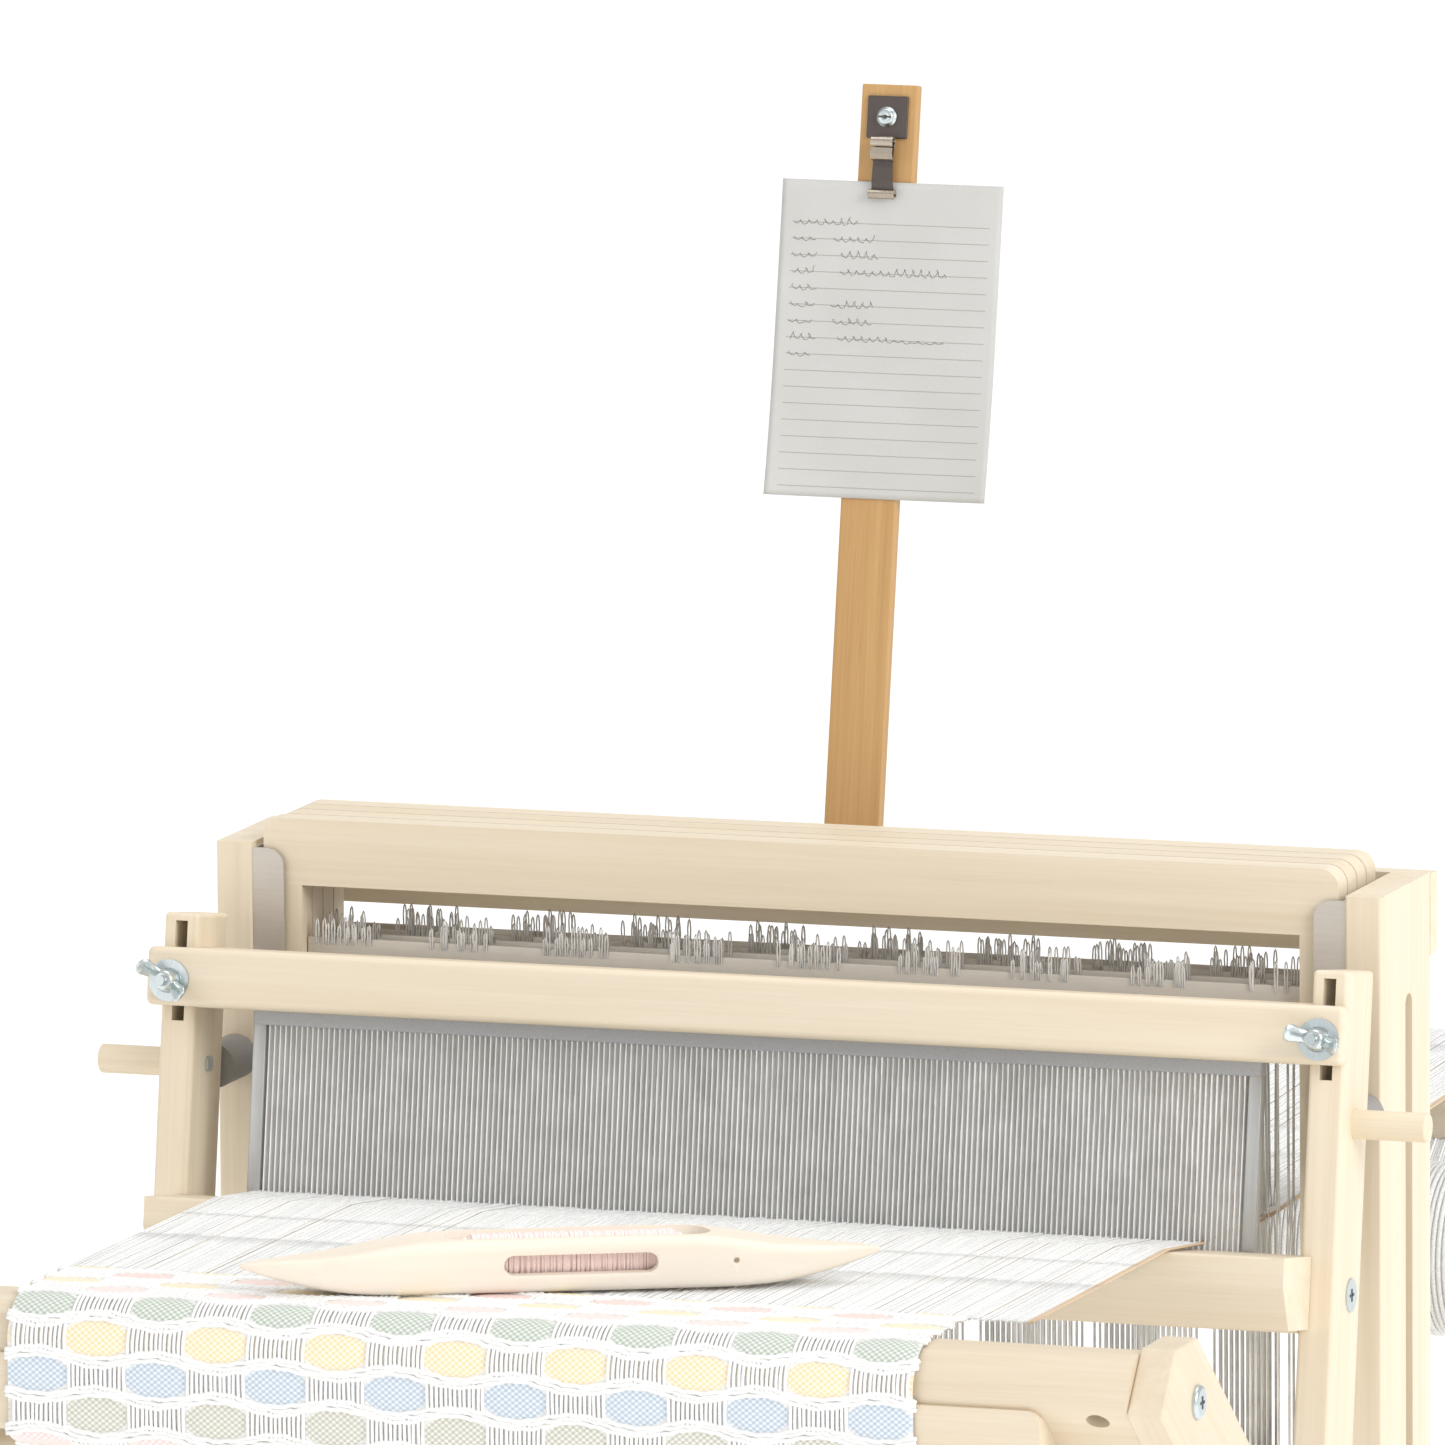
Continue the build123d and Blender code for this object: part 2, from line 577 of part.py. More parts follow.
def shuttle():
    """A boat shuttle: pointed upturned ends, a well for the bobbin and a slot in its side."""
    half, side, top = SHUTTLE_LENGTH / 2, SHUTTLE_WIDTH / 2, SHUTTLE_HEIGHT
    right = [(half, 0.8), (half - 40, 11), (half - 78, side)]
    left = [(-x, y) for x, y in reversed(right)]
    plan = right + left + [(-x, -y) for x, y in right + left]
    hull = extrude(make_face(Polyline(*plan, close=True)), top)
    upper = [(half, 17.0), (half - 40, 20.5), (half - 72, top)]
    lower = [(half - 72, 0), (half - 40, 4), (half, 10)]
    ends = upper + [(-x, z) for x, z in reversed(upper)]
    ends += [(-x, z) for x, z in reversed(lower)] + lower
    outline = make_face(Plane.XZ * Polyline(*ends, close=True))
    boat = hull & extrude(outline, SHUTTLE_WIDTH, both=True)
    boat -= Pos(7, 0, top / 2 + 4) * Box(116, 22, top)
    boat -= Pos(7, -side, BOBBIN_Z - 2) * Box(67, 16, 8)
    return in_shuttle(boat)


def bobbin():
    """The bobbin with its yarn, and the wire that it turns on."""
    yarn = rod_x(8.2, -40, 50, 0, BOBBIN_Z)
    flanges = rod_x(8.8, -43, -40, 0, BOBBIN_Z) + rod_x(8.8, 50, 53, 0, BOBBIN_Z)
    return in_shuttle(yarn + flanges - rod_x(1.6, -60, 60, 0, BOBBIN_Z))


def build():
    """Make every sub-part under its name."""
    node("castle_post_right", castle_post())
    node("castle_post_left", mirrored(castle_post()))
    rail = box(-POST_OUT, POST_OUT, CASTLE_REAR, CASTLE_REAR + 10.3, 724.5, 761)
    low_edge = rail.edges().filter_by(Axis.X).sort_by(Axis.Z)[:2].sort_by(Axis.Y)[-1]
    node("castle_rear_rail", chamfer(low_edge, 2.5))
    node("castle_base", castle_base())
    node("shaft_guides", both(shaft_guide()))
    node("pivot_rods", pivot_rods())
    node("beater_bumpers", both(bumper()))
    node("pattern_mast", mast())
    node("clip_plate", clip_plate())
    node("pattern_clip", clip_jaw())
    node("pattern_sheet", pattern_sheet())

    right_leg = leg(FRONT_LEG_IN, 6.0 + RUN)
    node("front_leg_right", right_leg)
    node("front_leg_left", mirrored(right_leg))
    node("breast_beam", breast_beam())
    node("front_frame_rail", leg_rail(-400, FRONT_LEG_IN))
    node("front_frame_bolts", leg_bolts(FRONT_LEG_OUT, [(484, 2.9), (-391, 0), (-409, 0)]))

    rear_leg = behind(leg(REAR_LEG_IN, 6.0 + RUN))
    node("rear_leg_right", rear_leg)
    node("rear_leg_left", mirrored(rear_leg))
    node("back_beam", back_beam())
    node("rear_frame_rail", behind(leg_rail(-130, REAR_LEG_IN)))
    bolts = leg_bolts(REAR_LEG_OUT, [(484, 2.9), (-121, 0), (-139, 0)])
    node("rear_frame_bolts", [behind(bolt) for bolt in bolts])
    node("fold_pivot_bolts", fold_pivots())

    node("cloth_beam", take_up_beam(262, FRONT_LEG_OUT - 1, 20.0))
    node("cloth_ratchet", ratchet(262.2, 268.2))
    node("cloth_pawl", pawl(262.4, 268.0, FRONT_LEG_IN))
    node("warp_beam", behind(take_up_beam(279, REAR_LEG_OUT - 1, 20.0)))
    node("warp_ratchet", behind(ratchet(279.2, 285.2)))
    node("warp_pawl", behind(pawl(279.4, 285.0, REAR_LEG_IN)))

    node("beater_post_right", beater_post())
    node("beater_post_left", mirrored(beater_post()))
    node("beater_lower_rail", beater_rail())
    node("shuttle_race", race())
    node("reed", reed())
    node("beater_pegs", both(beater_peg()))
    node("beater_screws", [part for fixing in beater_screw() for part in both(fixing)])
    node("beater_top_bar", top_bar())
    node("top_bar_bolts", top_bar_bolts())
    node("wing_nut_left", wing_nut(-BOLT_X, 45))
    node("wing_nut_right", wing_nut(BOLT_X, -12))

    for number in SHAFTS:
        node(f"shaft_{number}_frame", shaft_frame(number))
        node(f"shaft_{number}_heddles", heddles(number))
        node(f"lamm_{number}", lamm(number))
        node(f"treadle_{number}", treadle(number))

    node("woven_cloth", woven_cloth())
    node("warp_front", warp_front())
    node("warp_back", warp_back())
    node("shuttle", shuttle())
    node("shuttle_bobbin", bobbin())


build()
os.makedirs("parts", exist_ok=True)
for name, solids in nodes.items():
    shape = solids[0] if len(solids) == 1 else Compound(children=solids)
    export_step(shape, f"parts/{name}.step")
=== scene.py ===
import math
import random
import bmesh
import bpy
import numpy as np
from mathutils import Matrix, Vector


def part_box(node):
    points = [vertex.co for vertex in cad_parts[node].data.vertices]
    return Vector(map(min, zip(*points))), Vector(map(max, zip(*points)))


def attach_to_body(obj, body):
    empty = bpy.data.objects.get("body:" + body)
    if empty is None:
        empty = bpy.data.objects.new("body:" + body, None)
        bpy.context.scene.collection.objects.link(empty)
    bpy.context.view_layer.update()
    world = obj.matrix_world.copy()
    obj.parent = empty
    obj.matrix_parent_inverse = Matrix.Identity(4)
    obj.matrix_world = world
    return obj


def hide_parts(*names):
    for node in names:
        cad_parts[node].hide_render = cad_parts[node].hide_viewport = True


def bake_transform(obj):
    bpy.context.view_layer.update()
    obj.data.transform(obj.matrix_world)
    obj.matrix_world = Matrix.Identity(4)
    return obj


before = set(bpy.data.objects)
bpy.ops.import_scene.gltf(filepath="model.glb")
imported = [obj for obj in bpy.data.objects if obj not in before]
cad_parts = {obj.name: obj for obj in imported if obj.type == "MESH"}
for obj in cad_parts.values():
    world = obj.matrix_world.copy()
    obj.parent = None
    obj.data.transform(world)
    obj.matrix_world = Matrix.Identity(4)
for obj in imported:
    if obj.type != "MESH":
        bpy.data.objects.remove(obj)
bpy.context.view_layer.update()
rng = random.Random(7)

SHAFTS = (1, 2, 3, 4)


# ---------------------------------------------------------------- measures taken from the frame
def low(node):
    return Vector(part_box(node)[0])


def high(node):
    return Vector(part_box(node)[1])


def middle(node):
    return (low(node) + high(node)) / 2


LEAN = math.radians(8.9)                  # the beater leans back
MAST_LEAN = math.radians(10.4)
LEG_SLOPE = math.radians(38.9)
SHAFT_Y = {k: middle(f"shaft_{k}_heddles").y for k in SHAFTS}
EYE_Z = 0.6115                            # height of the heddle eyes
WARP_X0, WARP_X1 = low("warp_front").x, high("warp_front").x
CLOTH_X0, CLOTH_X1 = low("woven_cloth").x, high("woven_cloth").x
CREST_Y = middle("breast_beam").y
BEAM_TOP = high("breast_beam").z
FELL_Y = low("warp_front").y
BACK_CREST_Y = middle("back_beam").y
BEATER_TOP = Vector((0, -0.09975, 0.739))  # front top edge of the beater posts


def in_beater(x, y, z):
    """A point given in the beater's own frame: y is the depth behind its front face."""
    c, s = math.cos(LEAN), math.sin(LEAN)
    return Vector((x, BEATER_TOP.y + y * c + z * s, BEATER_TOP.z - y * s + z * c))


def on_mast(x, y, z):
    """A point given in the mast's own frame, measured from its front face."""
    c, s = math.cos(MAST_LEAN), math.sin(MAST_LEAN)
    return Vector((-0.003 + x, 0.04855 + y * c + z * s, 0.768 - y * s + z * c))


# ---------------------------------------------------------------- mesh helpers
def new_object(name, verts, faces, material, smooth=True):
    """An object from plain lists of points and faces."""
    mesh = bpy.data.meshes.new(name)
    mesh.from_pydata([tuple(v) for v in verts], [], [tuple(f) for f in faces])
    mesh.update()
    obj = bpy.data.objects.new(name, mesh)
    bpy.context.scene.collection.objects.link(obj)
    if material:
        mesh.materials.append(material)
    if smooth:
        mesh.polygons.foreach_set("use_smooth", [True] * len(mesh.polygons))
    return obj


def tubes(paths, radius, sides=6, closed=False):
    """Points and faces of round tubes along an array of paths, shaped (count, points, 3)."""
    paths = np.asarray(paths, float)
    count, steps = paths.shape[:2]
    if closed:
        run = np.roll(paths, -1, axis=1) - np.roll(paths, 1, axis=1)
    else:
        run = np.gradient(paths, axis=1)
    run /= np.linalg.norm(run, axis=2, keepdims=True) + 1e-12
    crossing = np.abs(run[..., :1]) < 0.7
    ref = np.where(crossing, np.array([1.0, 0, 0]), np.array([0, 0, 1.0]))
    a = ref - (ref * run).sum(2, keepdims=True) * run
    a /= np.linalg.norm(a, axis=2, keepdims=True) + 1e-12
    b = np.cross(run, a)
    angle = np.arange(sides) * 2 * np.pi / sides
    radius = np.broadcast_to(np.asarray(radius, float), (count, steps))[..., None, None]
    ring = a[:, :, None] * np.cos(angle)[:, None] + b[:, :, None] * np.sin(angle)[:, None]
    verts = (paths[:, :, None] + radius * ring).reshape(-1, 3)
    faces = []
    links = steps if closed else steps - 1
    for n in range(count):
        base = n * steps * sides
        for i in range(links):
            here, there = base + i * sides, base + (i + 1) % steps * sides
            for j in range(sides):
                k = (j + 1) % sides
                faces.append((here + j, here + k, there + k, there + j))
        if not closed:
            faces.append(tuple(base + j for j in reversed(range(sides))))
            faces.append(tuple(base + (steps - 1) * sides + j for j in range(sides)))
    return verts, faces


def tube_object(name, paths, radius, material, sides=6, closed=False):
    verts, faces = tubes(paths, radius, sides, closed)
    obj = new_object(name, verts, faces, material)
    if not closed:
        obj.data.polygons.foreach_set("use_smooth", [len(f) == 4 for f in faces])
    return obj


def grid_faces(rows, columns):
    """Faces of a grid of points, listed row by row."""
    return [
        (r * columns + c, r * columns + c + 1, (r + 1) * columns + c + 1, (r + 1) * columns + c)
        for r in range(rows - 1) for c in range(columns - 1)
    ]


def boxes(centres, size, turn=None):
    """Points and faces of equal boxes; turn is a matrix for their direction."""
    corners = np.array([[x, y, z] for x in (-1, 1) for y in (-1, 1) for z in (-1, 1)], float)
    corners *= np.array(size) / 2
    if turn is not None:
        corners = corners @ np.array(turn.to_3x3()).T
    verts, faces = [], []
    quads = [(0, 1, 3, 2), (4, 6, 7, 5), (0, 4, 5, 1), (2, 3, 7, 6), (0, 2, 6, 4), (1, 5, 7, 3)]
    for centre in centres:
        base = len(verts)
        verts += [tuple(c + np.array(centre)) for c in corners]
        faces += [tuple(base + i for i in quad) for quad in quads]
    return verts, faces


def loft(rings, sides):
    """Faces that join equal rings of points one after another, with a cap at each end."""
    faces = []
    for i in range(rings - 1):
        for j in range(sides):
            k = (j + 1) % sides
            faces.append((i * sides + j, i * sides + k, (i + 1) * sides + k, (i + 1) * sides + j))
    faces.append(tuple(reversed(range(sides))))
    faces.append(tuple((rings - 1) * sides + j for j in range(sides)))
    return faces


def lathe(name, profile, axis_point, axis, material, sides=40):
    """A turned piece: profile is a list of (distance along the axis, radius)."""
    axis = Vector(axis).normalized()
    side = axis.orthogonal().normalized()
    other = axis.cross(side)
    verts = []
    for along, radius in profile:
        for i in range(sides):
            angle = 2 * math.pi * i / sides
            out = side * math.cos(angle) + other * math.sin(angle)
            verts.append(Vector(axis_point) + axis * along + out * max(radius, 1e-5))
    obj = new_object(name, verts, loft(len(profile), sides), material)
    fix_normals(obj)
    return obj


def fix_normals(obj):
    bm = bmesh.new()
    bm.from_mesh(obj.data)
    bmesh.ops.recalc_face_normals(bm, faces=bm.faces)
    bm.to_mesh(obj.data)
    bm.free()


def apply_modifiers(obj):
    """Replace an object's mesh with what its modifiers make of it."""
    graph = bpy.context.evaluated_depsgraph_get()
    graph.update()
    made = bpy.data.meshes.new_from_object(obj.evaluated_get(graph))
    materials = list(obj.data.materials)
    obj.modifiers.clear()
    obj.data = made
    if not made.materials:
        for material in materials:
            made.materials.append(material)
    return obj


def bevelled(obj, width, segments=3, angle=30):
    modifier = obj.modifiers.new("bevel", "BEVEL")
    modifier.width = width
    modifier.segments = segments
    modifier.limit_method = "ANGLE"
    modifier.angle_limit = math.radians(angle)
    return apply_modifiers(obj)


def attach(pieces, body, node):
    """Say which body some pieces move with, and hide the CAD node they stand for."""
    for piece in pieces:
        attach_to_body(piece, body)
        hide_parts(node)


# ---------------------------------------------------------------- material helpers
def linear(r, g, b):
    """A colour given as 0-255 display values, in the linear values that nodes take."""
    def one(v):
        v /= 255
        return v / 12.92 if v <= 0.04045 else ((v + 0.055) / 1.055) ** 2.4
    return one(r), one(g), one(b), 1.0


class Nodes:
    """A short way to build a material's node tree."""

    def __init__(self, name, roughness=0.5, metallic=0.0):
        self.material = bpy.data.materials.new(name)
        self.material.use_nodes = True
        self.tree = self.material.node_tree
        self.shader = self.tree.nodes["Principled BSDF"]
        self.shader.inputs["Roughness"].default_value = roughness
        self.shader.inputs["Metallic"].default_value = metallic

    def add(self, kind, inputs=(), **settings):
        """A node; inputs maps socket names or numbers to a value or to another node's output."""
        made = self.tree.nodes.new(kind)
        for key, value in settings.items():
            setattr(made, key, value)
        for key, value in dict(inputs).items():
            if isinstance(value, bpy.types.NodeSocket):
                self.tree.links.new(value, made.inputs[key])
            else:
                made.inputs[key].default_value = value
        return made

    def math(self, operation, a, b=0.0, clamp=False):
        return self.add("ShaderNodeMath", {0: a, 1: b}, operation=operation, use_clamp=clamp).outputs[0]

    def position(self):
        return self.add("ShaderNodeTexCoord").outputs["Object"]

    def along_grain(self, direction, squeeze, offset):
        """The position with its length along the grain squeezed, so that noise draws out."""
        moved = self.add("ShaderNodeVectorMath", {0: self.position(), 1: offset}, operation="ADD")
        length = self.add(
            "ShaderNodeVectorMath", {0: moved.outputs[0], 1: direction}, operation="DOT_PRODUCT"
        ).outputs["Value"]
        part = self.add("ShaderNodeVectorMath", {0: direction, "Scale": length}, operation="SCALE")
        part = self.add(
            "ShaderNodeVectorMath", {0: part.outputs[0], "Scale": 1 - squeeze}, operation="SCALE"
        )
        return self.add(
            "ShaderNodeVectorMath", {0: moved.outputs[0], 1: part.outputs[0]}, operation="SUBTRACT"
        ).outputs[0]

    def noise(self, vector, scale, detail=3.0, rough=0.5, distortion=0.0):
        return self.add(
            "ShaderNodeTexNoise",
            {"Vector": vector, "Scale": scale, "Detail": detail, "Roughness": rough,
             "Distortion": distortion},
        ).outputs["Fac"]

    def ramp(self, factor, stops, interpolation="LINEAR"):
        """A colour ramp; stops are (place, colour)."""
        made = self.add("ShaderNodeValToRGB", {"Fac": factor})
        made.color_ramp.interpolation = interpolation
        elements = made.color_ramp.elements
        while len(elements) < len(stops):
            elements.new(0.5)
        for element, (place, colour) in zip(elements, stops):
            element.position = place
            element.color = colour
        return made.outputs["Color"]

    def grey(self, factor, a, b, at=(0.0, 1.0)):
        """A value that runs from a to b as the factor crosses a span."""
        made = self.add(
            "ShaderNodeMapRange",
            {"Value": factor, "From Min": at[0], "From Max": at[1], "To Min": a, "To Max": b},
        )
        return made.outputs["Result"]

    def mix(self, factor, a, b, blend="MIX"):
        made = self.add("ShaderNodeMix", data_type="RGBA", blend_type=blend)
        for number, value in ((0, factor), (6, a), (7, b)):
            if isinstance(value, bpy.types.NodeSocket):
                self.tree.links.new(value, made.inputs[number])
            else:
                made.inputs[number].default_value = value
        return made.outputs[2]

    def bump(self, height, strength, distance):
        made = self.add("ShaderNodeBump", {"Height": height, "Strength": strength, "Distance": distance})
        self.tree.links.new(made.outputs[0], self.shader.inputs["Normal"])

    def finish(self, colour, roughness=None):
        if isinstance(colour, bpy.types.NodeSocket):
            self.tree.links.new(colour, self.shader.inputs["Base Color"])
        else:
            self.shader.inputs["Base Color"].default_value = colour
        if roughness is not None:
            self.tree.links.new(roughness, self.shader.inputs["Roughness"])
        return self.material


ALONG_X, ALONG_Y, ALONG_Z = (1, 0, 0), (0, 1, 0), (0, 0, 1)
BEATER_GRAIN = (0, math.sin(LEAN), math.cos(LEAN))
MAST_GRAIN = (0, math.sin(MAST_LEAN), math.cos(MAST_LEAN))
FRONT_LEG_GRAIN = (0, -math.cos(LEG_SLOPE), math.sin(LEG_SLOPE))
REAR_LEG_GRAIN = (0, math.cos(LEG_SLOPE), math.sin(LEG_SLOPE))

MAPLE = [linear(231, 219, 199), linear(224, 210, 186), linear(212, 193, 163)]
# The second set is the maple made a little darker, about 0.955 of it: painted shade for the breast beam and
# front legs, which are the same wood.
SHADED_MAPLE = [linear(222, 209, 188), linear(215, 200, 176), linear(203, 183, 153)]
GOLDEN = [linear(203, 165, 113), linear(191, 150, 96), linear(165, 123, 72)]


def wood(name, grain, seed, tones=MAPLE, figure=1.0):
    """Fine-grained wood: broad soft bands, growth lines, short dark pores and a satin finish."""
    n = Nodes(name, roughness=0.5)
    offset = (seed * 0.371, seed * 0.253, seed * 0.117)
    bands = n.noise(n.along_grain(grain, 0.05, offset), 38, 3, 0.55, 0.6)
    lines_at = n.along_grain(grain, 0.02, offset)
    wobble = n.noise(n.along_grain(grain, 0.12, offset), 16, 2, 0.5)
    lines = n.noise(lines_at, 190, 4, 0.62, 0.25)
    pores = n.noise(n.along_grain(grain, 0.035, offset), 1500, 2, 0.5)
    fibre = n.noise(n.along_grain(grain, 0.01, offset), 900, 3, 0.6)
    tone = n.math("ADD", n.math("MULTIPLY", bands, 0.55), n.math("MULTIPLY", lines, 0.45))
    tone = n.math("ADD", tone, n.math("MULTIPLY", n.math("SUBTRACT", wobble, 0.5), 0.25))
    colour = n.ramp(tone, [(0.30, tones[0]), (0.52, tones[1]), (0.80, tones[2])])
    pore_mask = n.grey(pores, 0.0, 0.30 * figure, (0.60, 0.78))
    colour = n.mix(pore_mask, colour, tones[2])
    fibre_mask = n.grey(fibre, 0.0, 0.22 * figure, (0.45, 0.75))
    colour = n.mix(fibre_mask, colour, tones[2])
    n.bump(n.math("ADD", fibre, n.math("MULTIPLY", pores, 0.6)), 0.12, 0.0004)
    return n.finish(colour, n.grey(fibre, 0.42, 0.62))


def metal(name, colour, roughness, grain=ALONG_X, streaks=0.10, metallic=1.0):
    """Metal with fine drawn streaks and faint blotches."""
    n = Nodes(name, roughness, metallic)
    streak = n.noise(n.along_grain(grain, 0.03, (0.1, 0.2, 0.3)), 1400, 2, 0.5)
    blotch = n.noise(n.position(), 90, 3, 0.6)
    dark = tuple(c * (1 - 2.2 * streaks) for c in colour[:3]) + (1,)
    shade = n.math("ADD", n.math("MULTIPLY", streak, 0.6), n.math("MULTIPLY", blotch, 0.4))
    n.bump(streak, 0.08, 0.0002)
    tone = n.ramp(shade, [(0.35, colour), (0.72, dark)])
    return n.finish(tone, n.grey(shade, roughness - 0.06, roughness + 0.12))


def rubber(name, colour):
    n = Nodes(name, 0.8)
    speck = n.noise(n.position(), 2200, 3, 0.6)
    light = tuple(min(1, c * 1.35) for c in colour[:3]) + (1,)
    n.bump(speck, 0.25, 0.0003)
    return n.finish(n.mix(n.grey(speck, 0, 1, (0.4, 0.8)), colour, light), n.grey(speck, 0.7, 0.9))


def yarn(name, colour, shade, twist=900.0, grain=ALONG_Y, edge=None):
    """Spun thread: faint twist lines and fibres along it; threads past the edge are tan."""
    n = Nodes(name, 0.85)
    fibres = n.noise(n.along_grain(grain, 0.15, (0.3, 0.1, 0.2)), 2600, 3, 0.6)
    ply = n.add(
        "ShaderNodeTexWave",
        {"Vector": n.position(), "Scale": twist, "Distortion": 2.0, "Detail": 1.0},
        bands_direction="DIAGONAL",
    ).outputs["Fac"]
    mixed = n.math("ADD", n.math("MULTIPLY", fibres, 0.85), n.math("MULTIPLY", ply, 0.15))
    n.shader.inputs["Sheen Weight"].default_value = 0.25
    n.bump(mixed, 0.25, 0.0002)
    each = n.noise(n.along_grain(grain, 0.003, (0.5, 0.2, 0.4)), 1300, 1, 0.5)
    tone = n.mix(n.grey(each, 0.0, 0.7, (0.42, 0.66)), n.ramp(mixed, [(0.25, shade), (0.6, colour)]), shade)
    if edge:
        x = n.add("ShaderNodeSeparateXYZ", {0: n.position()}).outputs[0]
        tone = n.mix(n.grey(x, 0.0, 0.75, (edge, edge + 0.0005)), tone, linear(206, 170, 120))
    return n.finish(tone, n.grey(fibres, 0.75, 0.95))


def flat_uv(obj, coordinates, name="flat"):
    """Keep each corner's place on the flat piece, in metres, for its material."""
    layer = obj.data.uv_layers.new(name=name)
    index = np.empty(len(obj.data.loops), int)
    obj.data.loops.foreach_get("vertex_index", index)
    layer.data.foreach_set("uv", np.asarray(coordinates, float)[index].ravel())


# ---------------------------------------------------------------- the wooden nodes
GRAINS = {
    "castle_post_left": ALONG_Z, "castle_post_right": ALONG_Z, "castle_rear_rail": ALONG_X,
    "castle_base": ALONG_Y, "front_leg_left": FRONT_LEG_GRAIN, "front_leg_right": FRONT_LEG_GRAIN,
    "breast_beam": ALONG_X, "front_frame_rail": ALONG_X, "rear_leg_left": REAR_LEG_GRAIN,
    "rear_leg_right": REAR_LEG_GRAIN, "back_beam": ALONG_X, "rear_frame_rail": ALONG_X,
    "beater_post_left": BEATER_GRAIN, "beater_post_right": BEATER_GRAIN,
    "beater_lower_rail": ALONG_X, "shuttle_race": ALONG_X, "beater_pegs": ALONG_X,
    "beater_top_bar": ALONG_X, "cloth_beam": ALONG_X, "warp_beam": ALONG_X,
}
for k in SHAFTS:
    GRAINS[f"shaft_{k}_frame"] = ALONG_X
    GRAINS[f"lamm_{k}"] = ALONG_X
    GRAINS[f"treadle_{k}"] = ALONG_Y


def paint(node, material):
    """Give a CAD node a finished material in place of its plain one."""
    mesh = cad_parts[node].data
    mesh.materials.clear()
    mesh.materials.append(material)


def paint_by_direction(node, materials, chooser):
    """Give each face of a CAD node one of several materials."""
    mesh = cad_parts[node].data
    mesh.materials.clear()
    for material in materials:
        mesh.materials.append(material)
    for polygon in mesh.polygons:
        polygon.material_index = chooser(polygon)


for seed, (node_name, grain) in enumerate(GRAINS.items()):
    # painted shade: the breast beam and front legs take the darker copy of the maple
    tones = SHADED_MAPLE if node_name in ("breast_beam", "front_leg_left", "front_leg_right") else MAPLE
    if not node_name.startswith("shaft"):
        paint(node_name, wood(f"maple_{node_name}", grain, seed + 1, tones))

for k in SHAFTS:
    bars = wood(f"maple_shaft_{k}_bars", ALONG_X, 40 + k)
    stiles = wood(f"maple_shaft_{k}_stiles", ALONG_Z, 50 + k)
    bar_zone = (low(f"shaft_{k}_heddles").z, high(f"shaft_{k}_frame").z - 0.030)

    def is_stile(polygon, zone=bar_zone):
        return int(zone[0] < polygon.center.z < zone[1] or polygon.center.z < 0.436)

    paint_by_direction(f"shaft_{k}_frame", [bars, stiles], is_stile)

paint("pattern_mast", wood("golden_mast", MAST_GRAIN, 71, GOLDEN, 1.4))
ZINC = metal("zinc", linear(205, 214, 216), 0.30, ALONG_Z, 0.08)
STEEL = metal("steel", linear(188, 188, 186), 0.34)
GUIDE = metal("guide_sheet", linear(204, 198, 190), 0.42, ALONG_X, 0.04, metallic=0.7)
for node_name in (
    "fold_pivot_bolts", "front_frame_bolts", "rear_frame_bolts", "beater_screws", "top_bar_bolts"
):
    paint(node_name, ZINC)
for node_name in ("pivot_rods", "cloth_ratchet", "warp_ratchet", "cloth_pawl", "warp_pawl"):
    paint(node_name, STEEL)
paint("shaft_guides", GUIDE)
paint("beater_bumpers", rubber("bumper_rubber", linear(146, 143, 139)))


# ---------------------------------------------------------------- camera, light and floor
def camera():
    """The photograph's view: from the right and a little above, with a very long lens."""
    psi, elevation, roll = map(math.radians, (18.91, 8.97, -0.3586))
    distance, right_of, below = 9.65273, 0.031363, 0.065045
    level = math.cos(elevation)
    forward = Vector((-math.sin(psi) * level, math.cos(psi) * level, -math.sin(elevation)))
    right = Vector((math.cos(psi), math.sin(psi), 0))
    up = right.cross(forward)
    turned_right = math.cos(roll) * right + math.sin(roll) * up
    turned_up = -math.sin(roll) * right + math.cos(roll) * up
    target = Vector((0, low("castle_post_right").y, high("castle_post_right").z))
    place = target - right_of * turned_right + below * turned_up - distance * forward
    data = bpy.data.cameras.new("camera")
    data.sensor_width = 36
    data.lens = 542.64
    data.clip_end = 60
    obj = bpy.data.objects.new("camera", data)
    bpy.context.scene.collection.objects.link(obj)
    turn = Matrix((turned_right, turned_up, -forward)).transposed().to_4x4()
    obj.matrix_world = Matrix.Translation(place) @ turn
    bpy.context.scene.camera = obj


def area_light(name, place, target, size, power, colour=(1, 1, 1)):
    data = bpy.data.lights.new(name, "AREA")
    data.shape = "DISK"
    data.size = size
    data.energy = power
    data.color = colour
    obj = bpy.data.objects.new(name, data)
    bpy.context.scene.collection.objects.link(obj)
    obj.location = place
    obj.rotation_euler = (Vector(target) - Vector(place)).to_track_quat("-Z", "Y").to_euler()


def studio():
    """A pale floor, a white surround and large soft lights, the stronger one from the right."""
    world = bpy.data.worlds.new("surround")
    bpy.context.scene.world = world
    world.use_nodes = True
    background = world.node_tree.nodes["Background"]
    background.inputs[0].default_value = (1, 1, 1, 1)
    background.inputs[1].default_value = 0.78
    aim = (0, 0, 0.6)
    area_light("key", (3.4, -1.6, 2.6), aim, 2.2, 80)
    area_light("fill", (-2.6, -3.4, 1.8), aim, 2.6, 20)
    area_light("top", (0.2, 0.4, 3.6), aim, 2.4, 26)
    n = Nodes("floor", 0.9)
    speckle = n.noise(n.position(), 6, 2)
    pale, paler = (0.93, 0.93, 0.925, 1), (0.95, 0.95, 0.945, 1)
    floor_material = n.finish(n.ramp(speckle, [(0.3, pale), (0.7, paler)]))
    n.shader.inputs["Emission Color"].default_value = (1, 1, 1, 1)
    n.shader.inputs["Emission Strength"].default_value = 0.33
    half = 30
    corners = [(-half, -half, 0), (half, -half, 0), (half, half, 0), (-half, half, 0)]
    floor = new_object("floor", corners, [(0, 1, 2, 3)], floor_material, smooth=False)
    bpy.context.scene.view_settings.view_transform = "Standard"


camera()
studio()


